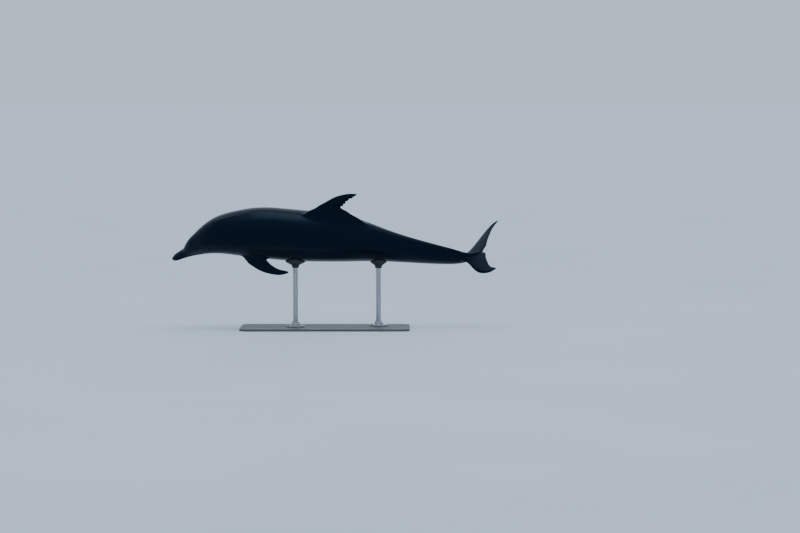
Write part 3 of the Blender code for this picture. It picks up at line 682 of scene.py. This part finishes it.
def make_sleeve(name, base, normal):
    """Rings of points from the body's opening, through a fillet tangent to the body, out to the fin's tip.

    With them come each ring's places along and out on the unwrap, the opening's own first.
    """
    root = FIN_ROOTS[name]
    count = len(base)
    turn = 1
    first, along, out = fin_ring(name, root.join, count, turn)
    quarter, three = count // 4, 3 * count // 4
    if (base[quarter] - base[three]) @ (first[quarter] - first[three]) < 0:
        turn = -1
        first, along, out = fin_ring(name, root.join, count, turn)
    ahead, _, _ = fin_ring(name, root.join + 0.01, count, turn)
    gap = first - base
    length = np.linalg.norm(gap, axis=1, keepdims=True)
    leaving = LEAVING * (gap - (gap * normal).sum(axis=1, keepdims=True) * normal)
    middle = (BACK(base[:, 0] / LENGTH) + BELLY(base[:, 0] / LENGTH)) / 2 * LENGTH
    girth = np.hypot(base[:, 1], base[:, 2] - middle)
    across = np.maximum(np.linalg.norm(leaving[:, 1:], axis=1), 1e-9)
    leaving[:, 1:] *= np.minimum(1, MOST_LEAVING * girth / across)[:, None]
    arriving = length * unit(ahead - first)
    rings = []
    places = [(along, out - length[:, 0])]
    for step in range(1, FILLET_RINGS):
        t = step / FILLET_RINGS
        ring = (
            (2 * t**3 - 3 * t**2 + 1) * base
            + (t**3 - 2 * t**2 + t) * leaving
            + (3 * t**2 - 2 * t**3) * first
            + (t**3 - t**2) * arriving
        )
        rings.append(ring)
        places.append((along, out - (1 - t) * length[:, 0]))
    for step in range(root.rings + 1):
        share = 1 - (1 - root.join) * (1 - step / root.rings) ** BUNCHING
        ring, *place = fin_ring(name, share, count, turn)
        rings.append(ring)
        places.append(place)
    return rings, places


# ---------------- Markings
# Station in hundredths of LENGTH, and there the angles from the back of the cape's edge and the belly's
MARKINGS = (
    (0, 98, 124),
    (5, 96, 118),
    (12, 92, 128),
    (18, 80, 140),
    (30, 70, 149),
    (45, 68, 150),
    (60, 74, 152),
    (72, 84, 158),
    (84, 96, 170),
    (92, 112, 176),
    (100, 130, 179),
)
CAPE_EDGE, BELLY_EDGE = columns(MARKINGS, 0.01, radians(1))
MARKING_FADE = radians(26)
BELLY_LEAD = radians(12)  # by which the belly starts to pale before its edge
FLANK_SHADE = 0.25
FIN_SHADE_ABOVE = 0.02
FIN_SHADE_BELOW = 0.10


def body_shade(station, angle):
    """How pale the skin is: 0 on the dark cape of the back, FLANK_SHADE on the flank, 1 on the belly."""
    turn = from_back(angle)
    flank = grow(turn, CAPE_EDGE(station), MARKING_FADE)
    belly = grow(turn, BELLY_EDGE(station) - BELLY_LEAD, MARKING_FADE)
    return FLANK_SHADE * flank + (1 - FLANK_SHADE) * belly * flank


def fin_shade(name, count):
    """Fins are dark, and flippers and flukes a little paler beneath."""
    if name == "dorsal_fin":
        return np.zeros(count)
    first_half = np.arange(count) < count / 2
    above = first_half if name.endswith("left") else ~first_half
    return np.where(above, FIN_SHADE_ABOVE, FIN_SHADE_BELOW)


# ---------------- The whole skin, and its unwrap
TIP_FLAP = 0.004  # metres by which the unwrap lays a fin tip's far side beside its near one
MAP_WIDTH = 3.2  # metres
MAP_MARGIN = 0.03


def sleeve_faces(name, layers, places):
    """A fin's faces, each with its corners and its island on the unwrap."""
    count = len(layers[0])
    for low, high, place_low, place_high in zip(layers, layers[1:], places, places[1:]):
        for k in range(count):
            m = (k + 1) % count
            quad = ((low, place_low, k), (low, place_low, m), (high, place_high, m), (high, place_high, k))
            corners = [(along[n], out[n]) for _, (along, out), n in quad]
            yield [layer[n] for layer, _, n in quad], corners, (name, k < count / 2)
    last = layers[-1]
    along, out = places[-1]
    for k in range(count // 2):
        across = [k, k + 1, count - k - 1, (count - k) % count]
        kept = [n for i, n in enumerate(across) if n != across[i - 1]]
        corners = [(along[n], out[n] + TIP_FLAP * (n > count / 2)) for n in kept]
        yield [last[n] for n in kept], corners, (name, True)


def build_skin():
    """The straight skin's points and shades, then its faces with their corners and islands on the unwrap."""
    grid, faces, roots, ends = body_grid(ring_stations())
    station, angle = grid.T
    point = body_point(station, angle)
    normal = body_normal(station, angle)
    relief = body_relief(station, angle, point)
    point = point + normal * (relief - SKIN_INSET)[:, None]
    shade = body_shade(station, angle)
    girth = np.hypot(point[:, 1], point[:, 2] - (BACK(station) + BELLY(station)) / 2 * LENGTH)

    def unroll(face):
        """A face's corners laid flat, kept together where it crosses the seam."""
        turns = angle[face]
        if turns.max() - turns.min() > pi:
            turns = np.where(turns < 0, turns + 2 * pi, turns)
        return list(zip(point[face, 0], turns * girth[face]))

    points, shades = [point], [shade]
    patches = [(face, unroll(face), "body") for face in faces]
    total = len(point)
    for name, loop in roots.items():
        rings, places = make_sleeve(name, point[loop], normal[loop])
        count = len(loop)
        layers = np.arange(total, total + len(rings) * count).reshape(-1, count)
        total += layers.size
        points.extend(rings)
        for r in range(len(rings)):
            t = smooth_step((r + 1) / FILLET_RINGS)
            shades.append((1 - t) * shade[loop] + t * fin_shade(name, count))
        patches += sleeve_faces(name, [loop, *layers], places)
    for loop, at, x in ((ends[0], 0.0, SKIN_INSET), (ends[1], 1.0, LENGTH - SKIN_INSET)):
        middle = (float(BACK(at)) + float(BELLY(at))) / 2 * LENGTH
        points.append(np.array([[x, 0, middle]]))
        shades.append(np.array([shade[loop].mean()]))
        for pair in zip(loop, np.roll(loop, -1)):
            first, second = unroll(list(pair))
            patches.append(([*pair, total], [first, second, (x, (first[1] + second[1]) / 2)], "body"))
        total += 1
    return np.concatenate(points), np.concatenate(shades), *map(list, zip(*patches))


def pack_islands(uv_faces, islands):
    """Moves each island of the unwrap to a place of its own in the unit square."""
    groups = {}
    for index, island in enumerate(islands):
        groups.setdefault(island, []).append(index)
    x, y, row = MAP_MARGIN, MAP_MARGIN, 0.0
    for _, members in sorted(groups.items(), key=lambda item: str(item[0])):
        corners = np.array([corner for index in members for corner in uv_faces[index]])
        low, high = corners.min(axis=0), corners.max(axis=0)
        wide, tall = high - low
        if x + wide > MAP_WIDTH:
            x, y, row = MAP_MARGIN, y + row + MAP_MARGIN, 0.0
        for index in members:
            uv_faces[index] = [
                ((u - low[0] + x) / MAP_WIDTH, (v - low[1] + y) / MAP_WIDTH) for u, v in uv_faces[index]
            ]
        x += wide + MAP_MARGIN
        row = max(row, tall)
    return uv_faces


def add_object(name, data):
    made = bpy.data.objects.new(name, data)
    bpy.context.scene.collection.objects.link(made)
    return made


def face_outwards(bm):
    if bm.calc_volume(signed=True) < 0:
        bmesh.ops.reverse_faces(bm, faces=bm.faces)


def to_mesh(name, bm, finish):
    mesh = bpy.data.meshes.new(name)
    bm.to_mesh(mesh)
    bm.free()
    mesh.shade_smooth()
    mesh.materials.append(finish)
    return mesh


def store(mesh, name, values):
    """Keeps a number or a vector for each point, which a material reads by name."""
    kind, key = ("FLOAT_VECTOR", "vector") if values.ndim == 2 else ("FLOAT", "value")
    mesh.attributes.new(name, kind, "POINT").data.foreach_set(key, values.astype(np.float32).ravel())


def make_skin():
    straight, shades, faces, uv_faces, islands = build_skin()
    uv_faces = pack_islands(uv_faces, islands)
    posed = close_lids(pose(straight))
    mesh = bpy.data.meshes.new("skin")
    mesh.from_pydata(posed.tolist(), [], [[int(v) for v in face] for face in faces])
    uv = mesh.uv_layers.new(name="OFBake")
    uv.data.foreach_set("uv", np.array([c for face in uv_faces for c in face], np.float32).ravel())
    store(mesh, "rest", straight)
    store(mesh, "shade", shades)
    bm = bmesh.new()
    bm.from_mesh(mesh)
    bmesh.ops.recalc_face_normals(bm, faces=bm.faces)
    face_outwards(bm)
    bm.to_mesh(mesh)
    bm.free()
    mesh.shade_smooth()
    return add_object("skin", mesh)


# ---------------- Materials
NOISE_SPAN = (0.3, 0.7)  # between which most of a noise's values lie
# The skin's colours, from the cape's shade to the belly's
SKIN_TONES = (
    (0.0, (0.0018, 0.0044, 0.0092)),
    (0.10, (0.0026, 0.0055, 0.0105)),
    (0.28, (0.0075, 0.0115, 0.0175)),
    (0.55, (0.060, 0.068, 0.077)),
    (0.85, (0.27, 0.275, 0.28)),
    (1.0, (0.40, 0.39, 0.38)),
)
MOTTLING = ((0.25, (0.72, 0.74, 0.78)), (0.75, (1.25, 1.23, 1.2)))
# Tooth rakes: the stretch that sets the lines' direction, how much they wander and where they start
RAKES = (((30.0, 6.0, 12.0), 1.4, 0.0), ((14.0, 10.0, -26.0), 2.0, 3.7))
RAKE_STRENGTH = 0.012


class Nodes:
    """Short ways to add shader nodes to one material."""

    def __init__(self, name):
        self.material = bpy.data.materials.new(name)
        self.material.use_nodes = True
        self.tree = self.material.node_tree
        self.shader = self.tree.nodes["Principled BSDF"]

    def put(self, node, inputs):
        for key, value in inputs.items():
            if isinstance(value, bpy.types.NodeSocket):
                self.tree.links.new(value, node.inputs[key])
            else:
                node.inputs[key].default_value = value

    def add(self, kind, inputs, output=0, **settings):
        """One output of a new node with these inputs and settings."""
        node = self.tree.nodes.new("ShaderNode" + kind)
        for key, value in settings.items():
            setattr(node, key, value)
        self.put(node, inputs)
        return node.outputs[output]

    def attribute(self, name, output):
        return self.add("Attribute", {}, output, attribute_name=name)

    def place(self):
        return self.add("TexCoord", {}, "Object")

    def noise(self, vector, scale, detail=3.0, roughness=0.5, distortion=0.0):
        inputs = {"Vector": vector, "Scale": scale, "Detail": detail, "Roughness": roughness}
        return self.add("TexNoise", {**inputs, "Distortion": distortion}, "Fac")

    def math(self, operation, a, b=0.0, clamp=False):
        return self.add("Math", {0: a, 1: b}, operation=operation, use_clamp=clamp)

    def fit(self, value, low, high, to_low=0.0, to_high=1.0):
        return self.add("MapRange", dict(enumerate((value, low, high, to_low, to_high))))

    def spread(self, noise, low, high):
        """A noise's usual span drawn out to run from low to high."""
        return self.fit(noise, *NOISE_SPAN, low, high)

    def ramp(self, value, stops):
        made = self.add("ValToRGB", {"Fac": value}, "Color")
        elements = made.node.color_ramp.elements
        while len(elements) < len(stops):
            elements.new(0.5)
        for element, (at, colour) in zip(elements, stops):
            element.position = at
            element.color = (*colour, 1)
        return made

    def two_tone(self, noise, dark, light):
        return self.ramp(noise, tuple(zip(NOISE_SPAN, (dark, light))))

    def mix(self, share, a, b, blend="MIX"):
        return self.add("Mix", {0: share, 6: a, 7: b}, 2, data_type="RGBA", blend_type=blend)

    def scaled(self, vector, scale):
        return self.add("VectorMath", {0: vector, 1: scale}, operation="MULTIPLY")

    def length(self, vector):
        return self.add("VectorMath", {0: vector}, "Value", operation="LENGTH")

    def bump(self, height, distance, strength, **below):
        inputs = {"Height": height, "Distance": distance, "Strength": strength}
        return self.add("Bump", {**inputs, **below}, "Normal")

    def set(self, **inputs):
        self.put(self.shader, {key.replace("_", " "): value for key, value in inputs.items()})
        return self.material


def skin_material():
    """Wet skin: near-black cape, slightly paler flank, pale belly, with mottling and old scratches."""
    n = Nodes("wet_skin")
    rest = n.attribute("rest", "Vector")
    shade = n.attribute("shade", "Fac")
    broad = n.spread(n.noise(rest, 3.2, 4.0, 0.55), -0.05, 0.05)
    fine = n.spread(n.noise(rest, 9.0, 5.0, 0.6), -0.04, 0.04)
    strength = n.fit(shade, 0.0, 0.3, 0.15)
    wander = n.math("MULTIPLY", n.math("ADD", broad, fine), strength)
    colour = n.ramp(n.math("ADD", shade, wander, clamp=True), SKIN_TONES)
    colour = n.mix(0.55, colour, n.ramp(n.noise(rest, 38.0, 4.0, 0.6), MOTTLING), "MULTIPLY")
    # tooth rakes: short, scattered bundles of fine parallel lines
    for run, distortion, start in RAKES:
        waves = {"Vector": n.scaled(rest, run), "Scale": 1.35, "Distortion": distortion}
        waves = {**waves, "Phase Offset": start, "Detail": 2.0, "Detail Scale": 1.6}
        lines = n.fit(n.add("TexWave", waves, "Fac"), 0.93, 0.995)
        scattered = n.fit(n.noise(n.scaled(rest, (7.0 + start, 7.0, 7.0)), 1.0, 1.0, 0.5, 0.3), 0.66, 0.74)
        broken = n.fit(n.noise(rest, 60.0, 2.0), 0.42, 0.55)
        faint = n.math("MULTIPLY", broken, RAKE_STRENGTH)
        rakes = n.math("MULTIPLY", n.math("MULTIPLY", lines, scattered), faint)
        colour = n.mix(rakes, colour, (0.30, 0.32, 0.33, 1))
    pores = n.bump(n.noise(rest, 420.0, 2.0), 0.00008, 0.35)
    ripple = n.bump(n.noise(n.scaled(rest, (16.0, 8.0, 8.0)), 1.0), 0.0016, 0.5, Normal=pores)
    return n.set(
        Base_Color=colour,
        Roughness=n.spread(n.noise(rest, 14.0, 4.0, 0.6), 0.17, 0.25),
        Normal=n.bump(n.noise(rest, 55.0, 2.0, 0.45), 0.0003, 0.35, Normal=ripple),
        IOR=1.36,
        Specular_IOR_Level=0.17,
        Specular_Tint=(0.16, 0.52, 1.0, 1),
        Coat_Weight=0.09,
        Coat_Roughness=0.24,
        Coat_IOR=1.33,
        Coat_Normal=ripple,
    )


def eye_material():
    """A dark, wet eye: brown iris round a wide, low pupil, blackish white of the eye at its rim."""
    n = Nodes("dolphin_eye")
    place = n.attribute("gaze", "Vector")
    fibres = n.noise(n.scaled(place, (900.0, 900.0, 200.0)), 1.0, 3.0, 0.6)
    iris = n.two_tone(fibres, (0.007, 0.0045, 0.003), (0.024, 0.014, 0.008))
    rim = n.fit(n.length(n.scaled(place, (0.72, 1.0, 0.0))), 0.0060, 0.0075)
    colour = n.mix(rim, iris, (0.008, 0.008, 0.009, 1))
    pupil = n.fit(n.length(n.scaled(place, (1.0, 2.1, 0.0))), 0.0040, 0.0046, 1.0, 0.0)
    return n.set(
        Base_Color=n.mix(pupil, colour, (0.002, 0.002, 0.003, 1)),
        Roughness=n.spread(fibres, 0.16, 0.26),
        Specular_IOR_Level=0.05,
        Coat_Weight=0.38,
        Coat_Roughness=0.03,
        Coat_IOR=1.34,
    )


def steel_material():
    n = Nodes("brushed_steel")
    place = n.place()
    brushed = n.noise(n.scaled(place, (260.0, 260.0, 6.0)), 1.0, 3.0, 0.55)
    colour = n.two_tone(brushed, (0.30, 0.305, 0.315), (0.42, 0.425, 0.435))
    rough = n.math("ADD", n.spread(brushed, 0.22, 0.32), n.spread(n.noise(place, 9.0), -0.03, 0.05))
    return n.set(Base_Color=colour, Metallic=1.0, Roughness=rough, Normal=n.bump(brushed, 0.00008, 0.4))


def dull_material(name, scale, dark, light, rough, grain=None):
    """A finish of slowly drifting colour and roughness, with a grain where its scale and depth are given."""
    n = Nodes(name)
    place = n.place()
    drift = n.noise(place, scale)
    if grain:
        n.set(Normal=n.bump(n.noise(place, grain[0], 2.0), grain[1], 0.5))
    return n.set(Base_Color=n.two_tone(drift, dark, light), Roughness=n.spread(drift, *rough))


def base_material():
    colours = (0.060, 0.062, 0.066), (0.072, 0.074, 0.078)
    return dull_material("powder_coated_base", 5.0, *colours, (0.42, 0.52), (900.0, 0.00012))


def rubber_material():
    colours = (0.016, 0.016, 0.017), (0.024, 0.024, 0.025)
    return dull_material("saddle_rubber", 20.0, *colours, (0.62, 0.75), (500.0, 0.0001))


def floor_material():
    return dull_material("pale_floor", 0.6, (0.53, 0.59, 0.67), (0.56, 0.62, 0.70), (0.55, 0.65))


# ---------------- Eyes
CORNEA_BULGE = 0.0007
CORNEA_REACH = 0.0085
CORNEA_FADE = 0.0060


def make_eye(side, sign, finish):
    centre, tailward, up, out = eye_frame(sign)
    bm = bmesh.new()
    bmesh.ops.create_uvsphere(bm, u_segments=64, v_segments=40, radius=EYE_RADIUS)
    local = np.array([v.co for v in bm.verts])
    reach = np.hypot(local[:, 0], local[:, 1])
    bulge = CORNEA_BULGE * smooth_step((CORNEA_REACH - reach) / CORNEA_FADE)
    local[:, 2] += np.where(local[:, 2] > 0, bulge, 0)
    turned_out = centre + local[:, :1] * tailward + local[:, 1:2] * up + local[:, 2:] * out
    for vert, co in zip(bm.verts, turned_out):
        vert.co = co
    face_outwards(bm)
    mesh = to_mesh(f"eyeball_{side}", bm, finish)
    store(mesh, "gaze", local)
    piece = add_object(f"eyeball_{side}", mesh)
    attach(piece, "root")
    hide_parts(f"eye_{side}")


# ---------------- Stand, in metres
ROUND_SIDES = 96
SOFTEST = 2.2  # a side's length over this is the most that the rounding of its corner takes
BASE_CORNER = 0.070
CORNER_STEPS = 16
BASE_LIP = 0.012
BASE_ROUND = 0.004
FLANGE_PLATE = 0.012
FLANGE_BORE = 0.0225
FLANGE_COLLAR = 0.034
FLANGE_ROUND = 0.0025
FLANGE_BOLTS = 3
BOLT_CIRCLE = 0.060
# A bolt as radius and height above the flange's plate: its washer, its hexagon and the head's top
BOLT_SIDES = 32
WASHER = ((0.011, -0.001), (0.0135, 0.0), (0.0135, 0.0015), (0.008, 0.0015))
WASHER_ROUND = 0.0004
HEXAGON = ((0.0092, 0.001), (0.0100, 0.0015), (0.0100, 0.0072), (0.0090, 0.0080))
BOLT_TOP = ((0.0070, 0.0075), (0.0070, 0.0084), (0.0062, 0.0088))
ROD_CHAMFER = 0.0015
SADDLE_FOOT = 0.030
FOOT_CHAMFER = (0.0015, 0.002)
SADDLE_WAIST = 0.35  # share of the way up to the skin
SADDLE_ROUND = 0.010
SADDLE_BRIM = 0.008  # below the skin over the rod
SADDLE_GAP = 0.0006
# Share of the way from the brim to the skin, and how far in from the saddle's side
SADDLE_LIP = ((0.5, 0.0), (0.9, 0.0), (0.97, 0.0008), (1.0, 0.0025))
SADDLE_TOP = (0.006, 0.004, 14)  # its first ring in from the side, its last ring's radius, and how many


def loft(rings):
    """A closed mesh through rings of points."""
    bm = bmesh.new()
    loops = [[bm.verts.new(point) for point in ring] for ring in rings]
    for first, second in zip(loops, loops[1:]):
        for i in range(len(first)):
            j = (i + 1) % len(first)
            bm.faces.new((first[i], first[j], second[j], second[i]))
    bm.faces.new(loops[0][::-1])
    bm.faces.new(loops[-1])
    face_outwards(bm)
    return bm


def circle(radius, z, centre, sides=ROUND_SIDES):
    angles = np.linspace(0, 2 * pi, sides, endpoint=False)
    x, y = centre[0] + radius * np.cos(angles), centre[1] + radius * np.sin(angles)
    return np.stack([x, y, np.full(sides, z)], axis=1)


def turned(profile, centre, floor=0.0, sides=ROUND_SIDES):
    """A closed mesh turned from a profile of radius and height above a floor."""
    return loft([circle(radius, floor + height, centre, sides) for radius, height in profile])


def soften(profile, radius, steps=4):
    """A profile of radius and height with every inner corner rounded."""
    profile = [np.array(p, float) for p in profile]
    made = [profile[0]]
    for before, corner, after in zip(profile, profile[1:], profile[2:]):
        reach = min(radius, *(np.linalg.norm(end - corner) / SOFTEST for end in (before, after)))
        start = corner + unit(before - corner) * reach
        end = corner + unit(after - corner) * reach
        for t in np.linspace(0, 1, steps + 1):
            made.append((1 - t) ** 2 * start + 2 * t * (1 - t) * corner + t**2 * end)
    return [*made, profile[-1]]


def finish_stand(name, bm, finish, slot, *nodes):
    mesh = to_mesh(name, bm, finish)
    mesh.set_sharp_from_angle(angle=radians(35))
    piece = add_object(name, mesh)
    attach(piece, "root")
    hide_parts(*nodes)


def stand_box(node):
    """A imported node's centre, half size, bottom and top."""
    low, high = (np.array(corner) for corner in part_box(node))
    return (low + high) / 2, (high - low) / 2, low[2], high[2]


def make_base(finish):
    centre, half, bottom, top = stand_box("stand_base")
    side = ((BASE_LIP, bottom), (0.0, bottom), (0.0, top), (BASE_LIP, top))
    rings = []
    for inset, z in soften(side, BASE_ROUND):
        ring = []
        for quarter, signs in enumerate(((1, 1), (-1, 1), (-1, -1), (1, -1))):
            corner = centre[:2] + signs * (half[:2] - BASE_CORNER)
            for step in range(CORNER_STEPS + 1):
                angle = pi / 2 * (quarter + step / CORNER_STEPS)
                x, y = corner + (BASE_CORNER - inset) * np.array([cos(angle), sin(angle)])
                ring.append((x, y, z))
        rings.append(ring)
    finish_stand("base_plate", loft(rings), finish, "stand_base", "stand_base")


def make_flange(side, finish):
    _, half, bottom, top = stand_box(f"stand_flange_{side}")
    centre = stand_box(f"stand_rod_{side}")[0]
    plate = bottom + FLANGE_PLATE
    profile = ((FLANGE_BORE, bottom), (half[0], bottom), (half[0], plate))
    profile += ((FLANGE_COLLAR, plate), (FLANGE_COLLAR, top), (FLANGE_BORE, top))
    bm = turned(soften(profile, FLANGE_ROUND), centre)
    bolt_parts = ((soften(WASHER, WASHER_ROUND), BOLT_SIDES), (HEXAGON, 6), (BOLT_TOP, BOLT_SIDES))
    for bolt in range(FLANGE_BOLTS):
        angle = 2 * pi * (bolt + 0.5) / FLANGE_BOLTS
        place = centre[:2] + BOLT_CIRCLE * np.array([cos(angle), sin(angle)])
        for part, sides in bolt_parts:
            extra = turned(part, place, plate, sides)
            spare = bpy.data.meshes.new("spare")
            extra.to_mesh(spare)
            extra.free()
            bm.from_mesh(spare)
            bpy.data.meshes.remove(spare)
    finish_stand(f"flange_{side}", bm, finish, "stand_steel", f"stand_flange_{side}")


def make_rod(side, finish):
    centre, (radius, *_), bottom, top = stand_box(f"stand_rod_{side}")
    end = radius - ROD_CHAMFER
    profile = ((end, bottom), (radius, bottom + ROD_CHAMFER), (radius, top - ROD_CHAMFER), (end, top))
    finish_stand(f"rod_{side}", turned(profile, centre), finish, "stand_steel", f"stand_rod_{side}")


def make_saddle(side, skin_tree, finish):
    """A rubber cup under the belly whose top follows the skin."""
    _, (rim, *_), bottom, _ = stand_box(f"stand_saddle_{side}")
    centre = stand_box(f"stand_rod_{side}")[0]

    def skin_over(x, y):
        return skin_tree.ray_cast(Vector((x, y, bottom)), Vector((0, 0, 1)))[0][2]

    under = skin_over(centre[0], centre[1])
    brim = under - SADDLE_BRIM
    waist = bottom + (under - bottom) * SADDLE_WAIST

    def skin_ring(radius, share=1.0):
        """A ring that share of the way from the brim to just under the skin."""
        ring = circle(radius, brim, centre)
        ring[:, 2] += share * (np.array([skin_over(x, y) for x, y, _ in ring]) - SADDLE_GAP - brim)
        return ring

    chamfer_in, chamfer_up = FOOT_CHAMFER
    foot = ((SADDLE_FOOT - chamfer_in, bottom), (SADDLE_FOOT, bottom + chamfer_up))
    cup = soften((*foot, (SADDLE_FOOT, waist), (rim, brim)), SADDLE_ROUND, 5)
    rings = [circle(radius, z, centre) for radius, z in cup]
    rings += [skin_ring(rim - inset, share) for share, inset in SADDLE_LIP]
    first, last, count = SADDLE_TOP
    rings += [skin_ring(radius) for radius in np.linspace(rim - first, last, count)]
    finish_stand(f"saddle_{side}", loft(rings), finish, "saddle", f"stand_saddle_{side}")


# ---------------- Floor, lights and camera
SENSOR = 36.0
LENS = 132.35
CAMERA_DISTANCE = 25.0
CAMERA_PITCH = 3.143  # degrees below level
# Where the body's middle shows, right of and above the picture's middle, in shares of the picture's width
SUBJECT_RIGHT = -0.09375
SUBJECT_UP = 0.03775
FLOOR_HALF = 3000.0

LIT_PLACE = (0.1, 0.0, 0.75)
# Softbox, place, width and height, power and colour
SOFTBOXES = (
    ("rear_softbox", (0.2, 3.6, 4.6), (7.0, 1.8), 15, (0.90, 0.96, 1.0)),
    ("front_fill", (-1.0, -9.0, 5.5), (7.0, 4.0), 25, (0.95, 0.98, 1.0)),
)
# Sun, strength and width in degrees: one inside the other, so that their reflection has soft edges
OVERHEAD = (("overhead_narrow", 0.6, 36), ("overhead_middle", 0.5, 56), ("overhead_wide", 0.5, 76))
SUN_COLOUR = (0.92, 0.96, 1.0)


def make_camera():
    pitch = radians(CAMERA_PITCH)
    forward = Vector((0, cos(pitch), -sin(pitch)))
    up = Vector((0, sin(pitch), cos(pitch)))
    right = Vector((1, 0, 0))
    ray = forward + (right * SUBJECT_RIGHT + up * SUBJECT_UP) * SENSOR / LENS
    data = bpy.data.cameras.new("camera")
    data.lens = LENS
    data.sensor_width = SENSOR
    data.clip_end = 5000
    camera = add_object("camera", data)
    camera.location = Vector(POSED_AT) - ray * CAMERA_DISTANCE
    camera.rotation_euler = (pi / 2 - pitch, 0, 0)
    bpy.context.scene.camera = camera


def add_light(name, kind, power, colour):
    data = bpy.data.lights.new(name, kind)
    data.energy = power
    data.color = colour
    return data, add_object(name, data)


def make_lights():
    for name, place, size, power, colour in SOFTBOXES:
        data, light = add_light(name, "AREA", power, colour)
        data.shape = "RECTANGLE"
        data.size, data.size_y = size
        light.location = place
        light.rotation_euler = (Vector(LIT_PLACE) - Vector(place)).to_track_quat("-Z", "Y").to_euler()
    for name, strength, width in OVERHEAD:
        data, light = add_light(name, "SUN", strength, SUN_COLOUR)
        data.angle = radians(width)
        light.rotation_euler = (radians(10), radians(8), 0)
    world = bpy.data.worlds.new("soft_studio")
    bpy.context.scene.world = world
    world.use_nodes = True
    background = world.node_tree.nodes["Background"]
    background.inputs["Color"].default_value = (0.68, 0.83, 1.0, 1)
    background.inputs["Strength"].default_value = 0.88


def make_floor():
    mesh = bpy.data.meshes.new("studio_floor")
    corners = [(x * FLOOR_HALF, y * FLOOR_HALF, 0) for x, y in ((-1, -1), (1, -1), (1, 1), (-1, 1))]
    mesh.from_pydata(corners, [], [(0, 1, 2, 3)])
    mesh.materials.append(floor_material())
    floor = add_object("studio_floor", mesh)


# ---------------- The scene
skin = make_skin()
skin.data.materials.append(skin_material())
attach(skin, "root")
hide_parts(*FLESH)
faces = [list(face.vertices) for face in skin.data.polygons]
tree = BVHTree.FromPolygons([v.co for v in skin.data.vertices], faces)
eye_finish = eye_material()
make_eye("left", -1, eye_finish)
make_eye("right", 1, eye_finish)
steel = steel_material()
rubber = rubber_material()
make_base(base_material())
for end in ("front", "rear"):
    make_flange(end, steel)
    make_rod(end, steel)
    make_saddle(end, tree, rubber)
make_floor()
make_lights()
make_camera()
